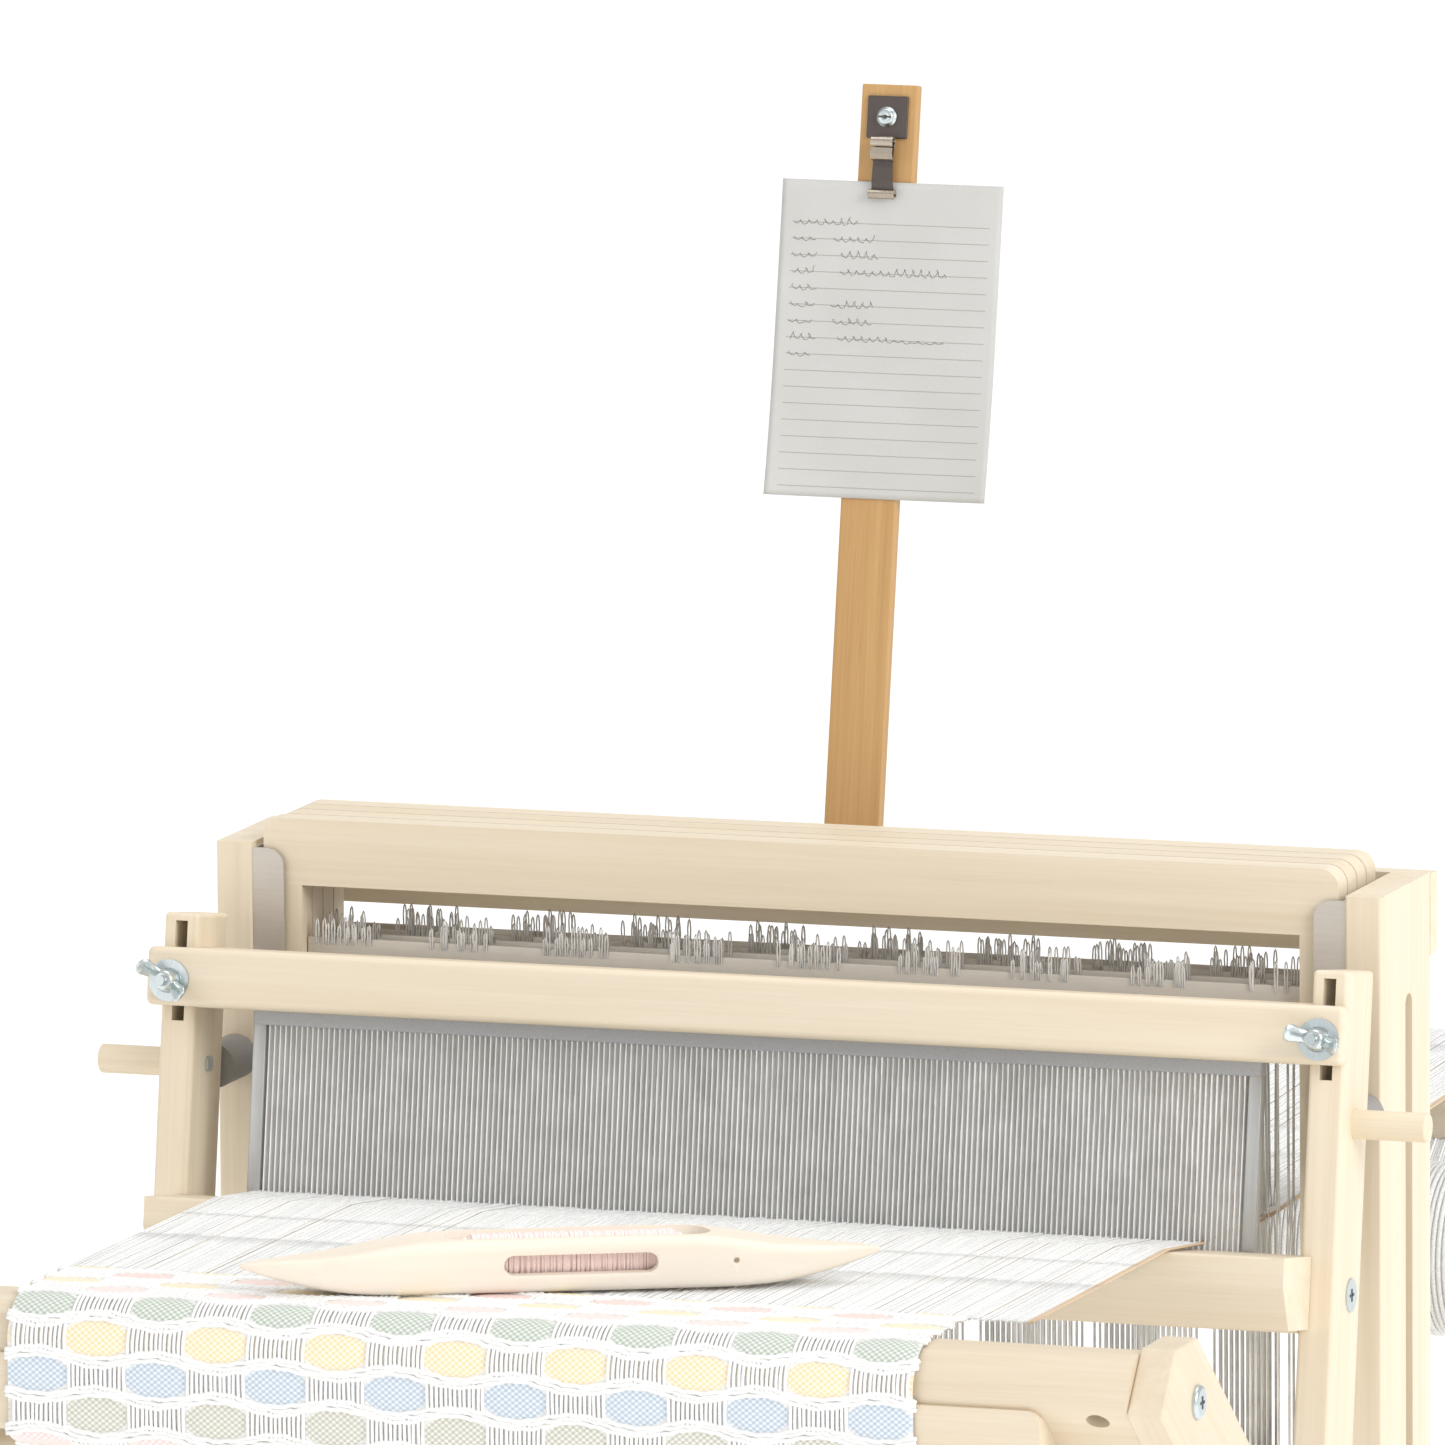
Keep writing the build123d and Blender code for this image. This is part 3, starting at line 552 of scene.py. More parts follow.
# ---------------------------------------------------------------- reed
def reed():
    """Two taped caps, two steel end bars and one thin dent every 2.54 mm."""
    cap_tape = rubber("reed_tape", linear(169, 170, 172))
    dent_steel = metal("dent_steel", linear(252, 252, 251), 0.38, BEATER_GRAIN, 0.12, metallic=0.1)
    bar_steel = metal("end_bar_steel", linear(186, 187, 186), 0.36, BEATER_GRAIN, 0.05, metallic=0.3)
    half = high("reed").x
    turn = Matrix.Rotation(-LEAN, 4, "X")
    pieces = []
    for name, z0, z1 in (("reed_top_cap", -0.0482, -0.0342), ("reed_foot_cap", -0.140, -0.127)):
        verts, faces = boxes([in_beater(0, 0.0135, (z0 + z1) / 2)], (2 * half, 0.009, z1 - z0), turn)
        cap = bevelled(new_object(name, verts, faces, cap_tape), 0.0016, 3)
        pieces.append(cap)
    middle_z = (-0.0482 - 0.127) / 2
    tall = 0.127 - 0.0482 + 0.002
    ends = [in_beater(s * (half - 0.003), 0.0135, middle_z) for s in (-1, 1)]
    verts, faces = boxes(ends, (0.006, 0.0066, tall), turn)
    pieces.append(bevelled(new_object("reed_end_bars", verts, faces, bar_steel), 0.0006, 2))
    pitch, count = 0.00254, 180
    centres = [in_beater((i - (count - 1) / 2) * pitch, 0.0135, middle_z) for i in range(count)]
    verts, faces = boxes(centres, (0.00044, 0.0058, tall), turn)
    pieces.append(new_object("reed_dents", verts, faces, dent_steel, smooth=False))
    attach(pieces, "beater", "reed")


reed()


# ---------------------------------------------------------------- warp
THREADS = 350
PATTERN_PERIOD = 0.0547


def thread_x(i):
    return WARP_X0 + 0.001 + (WARP_X1 - WARP_X0 - 0.002) * i / (THREADS - 1)


def thread_shaft(i):
    """Blocks of threads on shafts 1 and 2 take turns with blocks on shafts 3 and 4."""
    block = int(((thread_x(i) - CLOTH_X0) / PATTERN_PERIOD * 2) % 2)
    return 1 + i % 2 + 2 * block


RACE_EDGE = in_beater(0, -0.0407, -0.1253)
REED_AT = in_beater(0, 0.0135, -0.1235)
MID_FRONT_Y = -0.200                      # the warp runs as one piece per shaft behind here, one piece for all threads in front
LIFT_END_Y = -0.255
BACK_SHED_Y, BACK_LIFT_Y = 0.120, 0.175


def front_height(y):
    """The front warp's height: over the race's edge, down through the reed to the eyes."""
    stops = [(FELL_Y, BEAM_TOP + 0.0008), (RACE_EDGE.y, RACE_EDGE.z + 0.0009),
             (REED_AT.y, REED_AT.z + 0.0012), (0.03, EYE_Z)]
    ys, zs = zip(*stops)
    return float(np.interp(y, ys, zs))


def warp():
    tan_from = WARP_X1 - 0.0042
    white = yarn("warp_white", linear(249, 249, 248), linear(214, 215, 214), edge=tan_from)
    spare = [rng.uniform(-0.0003, 0.0003) for _ in range(THREADS)]
    wander = [rng.uniform(-0.00022, 0.00022) for _ in range(THREADS)]
    radius = 0.00050

    def run(members, ys, heights):
        rows = []
        for i in members:
            rows.append([(thread_x(i) + wander[i], y, z + spare[i]) for y, z in zip(ys, heights)])
        return rows

    def threads(name, members, ys, height):
        """Threads side by side along ys, at the heights that a function gives."""
        return tube_object(name, run(members, ys, [height(y) for y in ys]), radius, white, 5)

    everyone = range(THREADS)
    pieces = []
    ys = np.linspace(FELL_Y - 0.001, LIFT_END_Y, 6)
    near = threads("warp_near_fell", everyone, ys, front_height)
    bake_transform(near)
    ys = np.linspace(LIFT_END_Y, MID_FRONT_Y, 8)
    rise = threads("warp_front_rise", everyone, ys, front_height)
    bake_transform(rise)
    pieces += [near, rise]
    for k in SHAFTS:
        mine = [i for i in everyone if thread_shaft(i) == k]
        eye = SHAFT_Y[k]
        over_race = [-0.1593, -0.15, -0.13, -0.1095, -0.09]
        ys = np.concatenate([np.linspace(MID_FRONT_Y, -0.165, 4), over_race, np.linspace(-0.075, eye, 4)])
        ahead = threads(f"warp_front_shaft_{k}", mine, ys, front_height)
        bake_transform(ahead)
        pieces.append(ahead)
    for piece in pieces:
        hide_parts("warp_front")

    back_top = high("back_beam").z + 0.0009

    def back_height(y):
        return float(np.interp(y, [0.0, BACK_CREST_Y - 0.008], [EYE_Z, back_top]))

    pieces = []
    for k in SHAFTS:
        mine = [i for i in everyone if thread_shaft(i) == k]
        ys = np.linspace(SHAFT_Y[k], BACK_SHED_Y, 8)
        after = threads(f"warp_back_shaft_{k}", mine, ys, back_height)
        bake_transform(after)
        pieces.append(after)
    ys = np.linspace(BACK_SHED_Y, BACK_LIFT_Y, 8)
    rise = threads("warp_back_rise", everyone, ys, back_height)
    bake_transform(rise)
    ys = np.linspace(BACK_LIFT_Y, BACK_CREST_Y - 0.03, 10)
    far = threads("warp_back_far", everyone, ys, back_height)
    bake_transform(far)
    pieces += [rise, far]
    ys, zs = [BACK_CREST_Y - 0.03, BACK_CREST_Y - 0.008], [back_height(BACK_CREST_Y - 0.03), back_top]
    bend, centre = 0.0155, Vector((0, BACK_CREST_Y + 0.005, back_top - 0.0155))
    for step in range(8):
        angle = math.radians(-8 + 17 * step)
        ys.append(centre.y + bend * math.sin(angle))
        zs.append(centre.z + bend * math.cos(angle))
    beam = middle("warp_beam")
    roll = 0.040
    ys += [beam.y + roll * 0.98, beam.y + roll * 0.92]
    zs += [beam.z + 0.012, beam.z - 0.012]
    down = tube_object("warp_to_beam", run(everyone, ys, zs), radius, white, 5)
    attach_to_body(down, "rear_frame")
    pieces.append(down)
    for piece in pieces:
        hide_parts("warp_back")
    turns = []
    for i in range(0, THREADS, 2):
        x = thread_x(i) + 0.0006
        angle = np.linspace(0, 2 * np.pi, 40, endpoint=False)
        size = roll - 0.0012 + rng.uniform(-0.0004, 0.0004)
        ring = [np.full(40, x), beam.y + size * np.cos(angle), beam.z + size * np.sin(angle)]
        turns.append(np.stack(ring, 1))
    wound = tube_object("warp_roll", turns, 0.0013, white, 6, closed=True)
    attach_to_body(wound, "warp_beam")


warp()


# ---------------------------------------------------------------- heddles
def heddle_path(x, y, lean, top, bottom):
    """One wire heddle, from its narrow top loop through the eye to its bottom loop."""
    eye, bar_top, bar_low = EYE_Z, 0.719, 0.478
    gap, loop = 0.0014, 0.00085
    points = []
    outline = [
        (0.0, top), (0.5, top - 0.0010), (0.85, top - 0.0045), (0.7, bar_top + 0.001),
        (0.45, bar_top - 0.0022), (0.4, bar_top - 0.0062), (0.3, bar_top - 0.022),
        (0.3, bar_top - 0.030), (0.3, eye + 0.012),
        (0.8, eye + 0.003), (0.8, eye - 0.003), (0.3, eye - 0.012), (0.3, bar_low + 0.030),
        (0.4, bar_low + 0.010), (1.0, bar_low - 0.002), (0.5, bottom + 0.001), (0.0, bottom),
    ]

    def depth(z):
        """In front of the bar at its top edge, behind the rest of it, and level below it."""
        if z > bar_top - 0.004:
            return -gap
        return gap if z > bar_top - 0.024 else 0.0

    for side, z in outline:
        share = max(0.0, (z - eye) / (top - eye))
        points.append((x + lean * share + side * loop, y + depth(z), z))
    for side, z in reversed(outline[1:-1]):
        share = max(0.0, (z - eye) / (top - eye))
        points.append((x + lean * share - side * loop, y + depth(z), z))
    return points


def heddles():
    wire = metal("heddle_wire", linear(244, 242, 237), 0.36, ALONG_Z, 0.20, metallic=0.15)
    bar_steel = metal("heddle_bar_steel", linear(210, 203, 192), 0.42, ALONG_X, 0.04, metallic=0.3)
    inner = 0.2330
    for k in SHAFTS:
        y = SHAFT_Y[k]
        paths = []
        for i in range(THREADS):
            if thread_shaft(i) != k:
                continue
            lean = rng.gauss(0, 0.0016)
            paths.append(heddle_path(thread_x(i), y, lean, 0.7265 + rng.uniform(-0.0025, 0.0035), 0.469))
        for x in (WARP_X1 + 0.006 + 0.0025 * k, WARP_X1 + 0.0115 + 0.0018 * k):
            paths.append(heddle_path(x, y, rng.gauss(0, 0.001), 0.730, 0.469))
        wires = tube_object(f"heddle_wires_{k}", paths, 0.00036, wire, 5, closed=True)
        bars = [(0, y, 0.7095), (0, y, 0.4875)]
        verts, faces = boxes(bars, (2 * inner, 0.0016, 0.019))
        flat = bevelled(new_object(f"heddle_bars_{k}", verts, faces, bar_steel), 0.0004, 2)
        attach((wires, flat), f"shaft_{k}", f"shaft_{k}_heddles")


heddles()


# ---------------------------------------------------------------- woven cloth
ROW = 0.0166                              # one row of the honeycomb along the cloth
OVAL_X, OVAL_S = 0.0146, 0.0078           # half width and half height of a cell
CREST_S = FELL_Y - CREST_Y                # cloth from the fell to the beam's crest
FIRST_ROW = CREST_S + 0.0148              # middle of the first row in front of the crest
FIRST_CELL = 0.0135                       # its first cell's middle, from the cloth's left edge
WAVE = 0.0021                             # how far the outline yarns swing about a row's border
SETT = 0.0021                             # pitch of the warp floats
CLOTH_ROLL = 0.0252                       # radius of the cloth wound on its beam


def cloth_route():
    """Points (y, z) down the cloth's outer face, and the length of cloth to each."""
    thick = 0.0010
    pad_y, pad_z = low("breast_beam").y, low("breast_beam").z
    top = BEAM_TOP + thick
    face = pad_y - thick
    centre_y, centre_z = pad_y + 0.0205, BEAM_TOP - 0.019
    points = [(y, top) for y in np.linspace(FELL_Y, centre_y, 60)]
    for angle in np.linspace(0, math.pi / 2, 36)[1:]:
        y = centre_y - (centre_y - face) * math.sin(angle)
        points.append((y, centre_z + (top - centre_z) * math.cos(angle)))
    points += [(face, z) for z in np.linspace(centre_z, low("breast_beam").z + 0.0035, 34)[1:]]
    away = math.radians(22.5)
    for angle in np.linspace(0, math.pi / 2 - away, 8)[1:]:
        points.append((pad_y + 0.0035 - 0.0045 * math.cos(angle), pad_z + 0.0035 - 0.0045 * math.sin(angle)))
    beam = middle("cloth_beam")
    leave = (beam.y - CLOTH_ROLL * math.sin(away), beam.z - CLOTH_ROLL * math.cos(away))
    start = points[-1]
    for share in np.linspace(0, 1, 44)[1:]:
        points.append((start[0] + (leave[0] - start[0]) * share, start[1] + (leave[1] - start[1]) * share))
    points = np.array(points)
    lengths = np.concatenate([[0], np.cumsum(np.linalg.norm(np.diff(points, axis=0), axis=1))])
    return points, lengths


ROUTE, LENGTHS = cloth_route()
CLOTH_LENGTH = float(LENGTHS[-1])


def on_cloth(x, s, proud=0.0):
    """A point on the cloth at a width x and a length s from the fell, lifted off its face."""
    y = np.interp(s, LENGTHS, ROUTE[:, 0])
    z = np.interp(s, LENGTHS, ROUTE[:, 1])
    step = 0.0006
    ty = np.interp(s + step, LENGTHS, ROUTE[:, 0]) - np.interp(s - step, LENGTHS, ROUTE[:, 0])
    tz = np.interp(s + step, LENGTHS, ROUTE[:, 1]) - np.interp(s - step, LENGTHS, ROUTE[:, 1])
    size = np.sqrt(ty * ty + tz * tz) + 1e-12
    return np.stack([x + 0 * y, y + tz / size * proud, z - ty / size * proud], -1)


def cloth_material():
    """Rows of coloured ovals in plain weave; the weft's colour shows between the floats too."""
    n = Nodes("honeycomb_cloth", 0.9)
    uv = n.add("ShaderNodeUVMap", uv_map="flat").outputs[0]
    split = n.add("ShaderNodeSeparateXYZ", {0: uv})
    x, s = split.outputs[0], split.outputs[1]
    row_at = n.math("DIVIDE", n.math("SUBTRACT", s, FIRST_ROW - ROW / 2), ROW)
    row = n.math("FLOOR", row_at)
    in_row = n.math("MULTIPLY", n.math("SUBTRACT", n.math("SUBTRACT", row_at, row), 0.5), ROW)
    odd = n.math("MULTIPLY", n.math("ABSOLUTE", n.math("MODULO", row, 2.0)), PATTERN_PERIOD / 2)
    at = n.math("SUBTRACT", n.math("SUBTRACT", x, FIRST_CELL - PATTERN_PERIOD / 2), odd)
    at = n.math("DIVIDE", at, PATTERN_PERIOD)
    cell_at = n.math("FRACT", n.math("ADD", at, 4.0))
    in_cell = n.math("MULTIPLY", n.math("SUBTRACT", cell_at, 0.5), PATTERN_PERIOD)
    dx = n.math("DIVIDE", in_cell, OVAL_X)
    ds = n.math("DIVIDE", in_row, OVAL_S)
    out_x = n.math("POWER", n.math("ABSOLUTE", dx), 2.6)
    out = n.math("ADD", out_x, n.math("POWER", n.math("ABSOLUTE", ds), 2.2))
    ragged = n.noise(uv, 700, 2)
    out = n.math("ADD", out, n.math("MULTIPLY", n.math("SUBTRACT", ragged, 0.5), 0.35))
    oval = n.grey(out, 1.0, 0.0, (0.84, 1.10))
    palette = [linear(240, 212, 150), linear(236, 190, 180), linear(242, 218, 165), linear(243, 208, 203),
               linear(160, 176, 158), linear(238, 212, 150), linear(162, 184, 206), linear(182, 180, 160),
               linear(236, 198, 196), linear(228, 184, 166), linear(240, 216, 152), linear(160, 176, 158)]
    pick = n.math("DIVIDE", n.math("ADD", row, 4.5), float(len(palette)))
    stops = [(i / len(palette), colour) for i, colour in enumerate(palette)]
    row_colour = n.ramp(n.math("FRACT", n.math("ADD", pick, 3.0)), stops, "CONSTANT")
    weave_x = n.math("SINE", n.math("MULTIPLY", x, math.pi / 0.0016))
    weave_s = n.math("SINE", n.math("MULTIPLY", s, math.pi / 0.0013))
    checks = n.math("MULTIPLY", weave_x, weave_s)
    fuzz = n.noise(uv, 2400, 3)
    soft = n.math("ADD", checks, n.math("MULTIPLY", n.math("SUBTRACT", fuzz, 0.5), 0.9))
    white = linear(248, 247, 244)
    plain = n.mix(n.grey(soft, 0.18, 0.78, (-0.5, 0.7)), row_colour, white)
    shade = n.mix(0.75, row_colour, linear(238, 236, 232))
    border = n.grey(n.math("ABSOLUTE", in_row), 0.0, 1.0, (0.0034, 0.0048))
    ground = n.mix(border, shade, linear(246, 245, 242))
    colour = n.mix(oval, ground, plain)
    height = n.math("ADD", n.math("MULTIPLY", checks, 0.5), fuzz)
    n.bump(height, 0.55, 0.0006)
    return n.finish(colour, n.grey(fuzz, 0.8, 1.0))


def row_and_cell(x, s):
    """Which row a place on the cloth is in, and how far it is from the cell's middle both ways."""
    row_at = (s - (FIRST_ROW - ROW / 2)) / ROW
    row = np.floor(row_at)
    in_row = (row_at - row - 0.5) * ROW
    shift = np.abs(np.mod(row, 2)) * PATTERN_PERIOD / 2
    at = (x - CLOTH_X0 - FIRST_CELL + PATTERN_PERIOD / 2 - shift) / PATTERN_PERIOD
    return row, in_row, (at - np.floor(at) - 0.5) * PATTERN_PERIOD


def cell_depth(x, s):
    """How far the cloth swells at a place: the ovals stand proud and the floats sink in."""
    _, in_row, in_cell = row_and_cell(x, s)
    out = np.abs(in_cell / OVAL_X) ** 2.6 + np.abs(in_row / OVAL_S) ** 2.2
    return np.clip(1 - out, -0.5, 0.8) * 0.0008


def cloth():
    """The sheet, its thick white outline yarns and the white warp floats between the ovals."""
    xs = np.linspace(CLOTH_X0, CLOTH_X1, 300)
    ss = np.linspace(0, CLOTH_LENGTH, 260)
    grid_s, grid_x = np.meshgrid(ss, xs, indexing="ij")
    verts = on_cloth(grid_x.ravel(), grid_s.ravel(), 0.0004 + cell_depth(grid_x.ravel(), grid_s.ravel()))
    sheet = new_object("woven_sheet", verts, grid_faces(len(ss), len(xs)), cloth_material())
    flat_uv(sheet, np.stack([grid_x.ravel() - CLOTH_X0, grid_s.ravel()], 1))
    fix_normals(sheet)

    white = yarn("weft_white", linear(250, 250, 249), linear(228, 227, 224), 700, ALONG_X)
    first_row = -int(FIRST_ROW / ROW) - 1
    last_row = int((CLOTH_LENGTH - FIRST_ROW) / ROW) + 1
    outlines = []
    for row in range(first_row, last_row):
        border = FIRST_ROW - ROW / 2 + row * ROW
        x = np.linspace(CLOTH_X0 - 0.0012, CLOTH_X1 + 0.0012, 300)
        phase = (row % 2) * math.pi
        wave = -np.cos(2 * math.pi * (x - CLOTH_X0 - FIRST_CELL) / PATTERN_PERIOD + phase) * WAVE
        for strand in (-1, 0, 1):
            wobble = 0.00025 * np.sin(x * 700 + row * 2.1 + strand)
            wobble += 0.0002 * np.sin(x * 211 + row + strand * 2)
            s = border + wave + strand * 0.00175 + wobble
            if s.min() < 0.0005 or s.max() > CLOTH_LENGTH - 0.001:
                continue
            crimp = 0.00035 * np.sin(x * 2 * math.pi / (2 * SETT) + strand * math.pi)
            outlines.append(on_cloth(x, s, 0.0006 + crimp))
    outline = tube_object("outline_yarns", outlines, 0.00106, white, 6)

    floats = []
    float_white = yarn("float_white", linear(251, 251, 250), linear(226, 225, 222), 900, ALONG_Y)
    for row in range(first_row, last_row):
        centre = FIRST_ROW + row * ROW
        if centre < 0.009 or centre > CLOTH_LENGTH - 0.009:
            continue
        shift = (1 - row % 2) * PATTERN_PERIOD / 2
        for cell in range(-1, int((CLOTH_X1 - CLOTH_X0) / PATTERN_PERIOD) + 2):
            gap_x = CLOTH_X0 + FIRST_CELL + cell * PATTERN_PERIOD + shift
            for j in range(-6, 7):
                x = gap_x + j * SETT + rng.uniform(-0.0002, 0.0002)
                if not CLOTH_X0 + 0.001 < x < CLOTH_X1 - 0.001:
                    continue
                s = np.linspace(centre - 0.0068, centre + 0.0068, 9)
                lean = rng.uniform(-0.0002, 0.0002) * np.linspace(-1, 1, 9)
                proud = 0.0005 + 0.0004 * np.cos(np.linspace(-1.5, 1.5, 9))
                floats.append(on_cloth(x + lean, s, proud))
    float_piece = tube_object("warp_floats", floats, 0.00080, float_white, 6)
    attach((sheet, outline, float_piece), "front_frame", "woven_cloth")

    beam = middle("cloth_beam")
    verts = []
    around, wraps = 64, 48
    for i, x in enumerate(np.linspace(CLOTH_X0, CLOTH_X1, wraps)):
        for j in range(around):
            angle = 2 * math.pi * j / around
            step = 0.0006 if j > around / 2 else 0.0
            size = CLOTH_ROLL + 0.0006 * math.sin(x * 900) * math.sin(angle * 9) + step
            verts.append((x, beam.y + size * math.cos(angle), beam.z + size * math.sin(angle)))
    wound = new_object("cloth_roll", verts, loft(wraps, around), cloth_material())
    places = [(v[0] - CLOTH_X0, 0.3 + math.atan2(v[2] - beam.z, v[1] - beam.y) * CLOTH_ROLL) for v in verts]
    flat_uv(wound, places)
    fix_normals(wound)
    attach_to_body(wound, "cloth_beam")


cloth()


# ---------------------------------------------------------------- pattern sheet and its clip
def strokes(start_x, baseline, length, height):
    """One meaningless scribble on the sheet: linked loops drawn along a line, as (x, z) points."""
    steps = max(8, int(length / 0.0007))
    points = []
    phase, lift = rng.uniform(0, 6), rng.uniform(0.6, 1.0)
    for i in range(steps):
        t = i / (steps - 1)
        turn = t * length / 0.0021 * 2 * math.pi * 0.55 + phase
        if rng.random() < 0.12:
            lift = rng.uniform(0.35, 1.5)
        x = start_x + t * length + 0.0006 * math.sin(turn * 1.0) + 0.0004 * math.sin(turn * 2.3)
        z = baseline + height * lift * (0.5 - 0.5 * math.cos(turn)) + 0.0003 * math.sin(turn * 0.41)
        points.append((x, z))
    return points


SHEET_X, SHEET_HALF, SHEET_LOW, SHEET_HIGH = 0.0043, 0.052, 0.1457, 0.2876


def sheet_face(x, z, proud=0.0):
    """A place on the hanging sheet; it bows a little, and its lower corners curl forward."""
    across = np.asarray(x) / SHEET_HALF
    down = (SHEET_HIGH - np.asarray(z)) / (SHEET_HIGH - SHEET_LOW)
    bow = 0.0011 * np.sin(down * 5.2 + 0.5) * (0.6 + 0.4 * across)
    curl = 0.0048 * np.clip(down, 0, 1) ** 3 * np.abs(across) ** 3
    lift = 0.0009 + np.clip(bow, -0.0003, 1) * down + curl + proud
    point = [on_mast(SHEET_X + float(a), -float(c), float(b)) for a, b, c in np.broadcast(x, z, lift)]
    return np.array([tuple(p) for p in point])


def paper_material():
    """Off-white paper with faint fibres and ruled lines."""
    n = Nodes("ruled_paper", 0.85)
    uv = n.add("ShaderNodeUVMap", uv_map="flat").outputs[0]
    split = n.add("ShaderNodeSeparateXYZ", {0: uv})
    x, z = split.outputs[0], split.outputs[1]
    spacing = 0.0074
    at = n.math("DIVIDE", n.math("SUBTRACT", z, SHEET_LOW + 0.0045), spacing)
    off = n.math("MULTIPLY", n.math("ABSOLUTE", n.math("SUBTRACT", n.math("FRACT", at), 0.5)), spacing)
    line = n.grey(n.math("ABSOLUTE", n.math("SUBTRACT", off, spacing / 2)), 1.0, 0.0, (0.00014, 0.00026))
    inside = n.math("MULTIPLY", n.math("LESS_THAN", n.math("ABSOLUTE", x), 0.0465),
                    n.math("LESS_THAN", z, SHEET_HIGH - 0.0135))
    fibre = n.noise(uv, 900, 4, 0.6)
    cloud = n.noise(uv, 30, 2)
    tone = n.math("ADD", n.math("MULTIPLY", fibre, 0.4), n.math("MULTIPLY", cloud, 0.6))
    paper = n.ramp(tone, [(0.3, linear(199, 198, 195)), (0.7, linear(191, 190, 186))])
    faded = n.math("MULTIPLY", n.math("MULTIPLY", line, inside), 0.75)
    n.bump(fibre, 0.1, 0.0002)
    return n.finish(n.mix(faded, paper, linear(146, 144, 132)), n.grey(fibre, 0.75, 0.95))


def pattern_sheet():
    xs, zs = np.linspace(-SHEET_HALF, SHEET_HALF, 40), np.linspace(SHEET_LOW, SHEET_HIGH, 54)
    grid_z, grid_x = np.meshgrid(zs, xs, indexing="ij")
    verts = sheet_face(grid_x.ravel(), grid_z.ravel())
    paper = new_object("pattern_paper", verts, grid_faces(54, 40), paper_material())
    flat_uv(paper, np.stack([grid_x.ravel(), grid_z.ravel()], 1))
    thick = paper.modifiers.new("thickness", "SOLIDIFY")
    thick.thickness = 0.00025
    thick.offset = 0
    apply_modifiers(paper)
    ink = rubber("pencil", linear(122, 112, 106))
    verts, faces = [], []
    for row in range(9):
        baseline = SHEET_HIGH - 0.0208 - 0.0074 * row + 0.0008
        words = [(-0.045, rng.uniform(0.009, 0.013) if row else 0.029)]
        if row and row not in (4, 8):
            words.append((rng.uniform(-0.026, -0.022), rng.uniform(0.016, 0.020)))
        if row in (3, 7):
            words[-1] = (-0.022, 0.050)
        for start, length in words:
            points = strokes(start, baseline, length, 0.0026)
            x, z = np.array([p[0] for p in points]), np.array([p[1] for p in points])
            line = sheet_face(x, z, 0.0001)
            more, links = tubes([line], 0.00017, 4)
            faces += [tuple(i + len(verts) for i in face) for face in links]
            verts += [tuple(v) for v in more]
    marks = new_object("pencil_marks", verts, faces, ink)
    attach((paper, marks), "castle", "pattern_sheet")


def strip(name, centre_line, widths, thickness, material):
    """A pressed metal strip: centre_line is (depth, height) on the mast, widths its half widths."""
    verts = []
    count = len(centre_line)
    for i, (y, z) in enumerate(centre_line):
        before, after = centre_line[max(0, i - 1)], centre_line[min(count - 1, i + 1)]
        ty, tz = after[0] - before[0], after[1] - before[1]
        size = math.hypot(ty, tz)
        ny, nz = tz / size * thickness / 2, -ty / size * thickness / 2
        for x, side in ((-widths[i], 1), (widths[i], 1), (widths[i], -1), (-widths[i], -1)):
            verts.append(on_mast(x, y + ny * side, z + nz * side))
    obj = new_object(name, verts, loft(count, 4), material, smooth=False)
    fix_normals(obj)
    return bevelled(obj, 0.00018, 2, 40)


def clip():
    """A spring clip: a long jaw with a curled lip, a thumb curl above it and a bolted plate."""
    nickel = metal("nickel", linear(186, 174, 160), 0.22, MAST_GRAIN, 0.08, metallic=0.9)
    dark = metal("dark_plate", linear(92, 84, 80), 0.38, MAST_GRAIN, 0.06, metallic=0.7)
    line = [(-0.0026, 0.3040), (-0.0035, 0.3000), (-0.0042, 0.2940), (-0.0040, 0.2880), (-0.0026, 0.2835)]
    jaw = strip("clip_jaw", line, [0.0045, 0.0046, 0.0047, 0.0049, 0.0052], 0.0007, dark)
    curl = []
    for step in range(13):
        angle = math.radians(-60 + 22 * step)
        curl.append((-0.0032 - 0.0021 * math.cos(angle), 0.2818 + 0.0021 * math.sin(angle)))
    lip = strip("clip_lip", curl, [0.0062] * 13, 0.0006, nickel)
    thumb = []
    for step in range(15):
        angle = math.radians(230 - 20 * step)
        thumb.append((-0.0058 - 0.0024 * math.cos(angle), 0.3052 + 0.0024 * math.sin(angle)))
    roll = strip("clip_thumb_curl", thumb, [0.0052] * 15, 0.0006, nickel)
    lower = [(-0.0074, 0.3028), (-0.0078, 0.3000), (-0.0066, 0.2978), (-0.0040, 0.2970)]
    fold = strip("clip_thumb_fold", lower, [0.0052] * 4, 0.0006, nickel)
    turn = Matrix.Rotation(-MAST_LEAN, 4, "X")
    verts, faces = boxes([on_mast(0, -0.0008, 0.3167)], (0.019, 0.0015, 0.019), turn)
    plate = new_object("clip_plate_square", verts, faces, dark, smooth=False)
    plate = bevelled(plate, 0.0006, 3)
    outwards = on_mast(0, -1, 0) - on_mast(0, 0, 0)
    head_at = on_mast(0, -0.0016, 0.3167)
    domed = [(0, 0.0046), (0.0007, 0.0046), (0.0008, 0.0037), (0.0026, 0.0037),
             (0.0032, 0.0030), (0.0033, 0.0012), (0.0026, 0.0005)]
    head = lathe("clip_bolt", domed, head_at, outwards, ZINC, 24)
    # painted shade: a thin dark bar on the bolt's dome stands in for the shade in its slot, which is not cut
    slot_verts, slot_faces = boxes([on_mast(0, -0.0049, 0.3167)], (0.0062, 0.0004, 0.0008), turn)
    slot_shade = new_object("clip_bolt_slot_shade", slot_verts, slot_faces, dark, smooth=False)
    attach((jaw, lip, roll, fold), "pattern_clip", "pattern_clip")
    attach((plate, head, slot_shade), "castle", "clip_plate")


pattern_sheet()
clip()


# ---------------------------------------------------------------- wing nuts and bolt heads
NUT_X = 0.2673                            # the wing nuts' bolts, from the middle


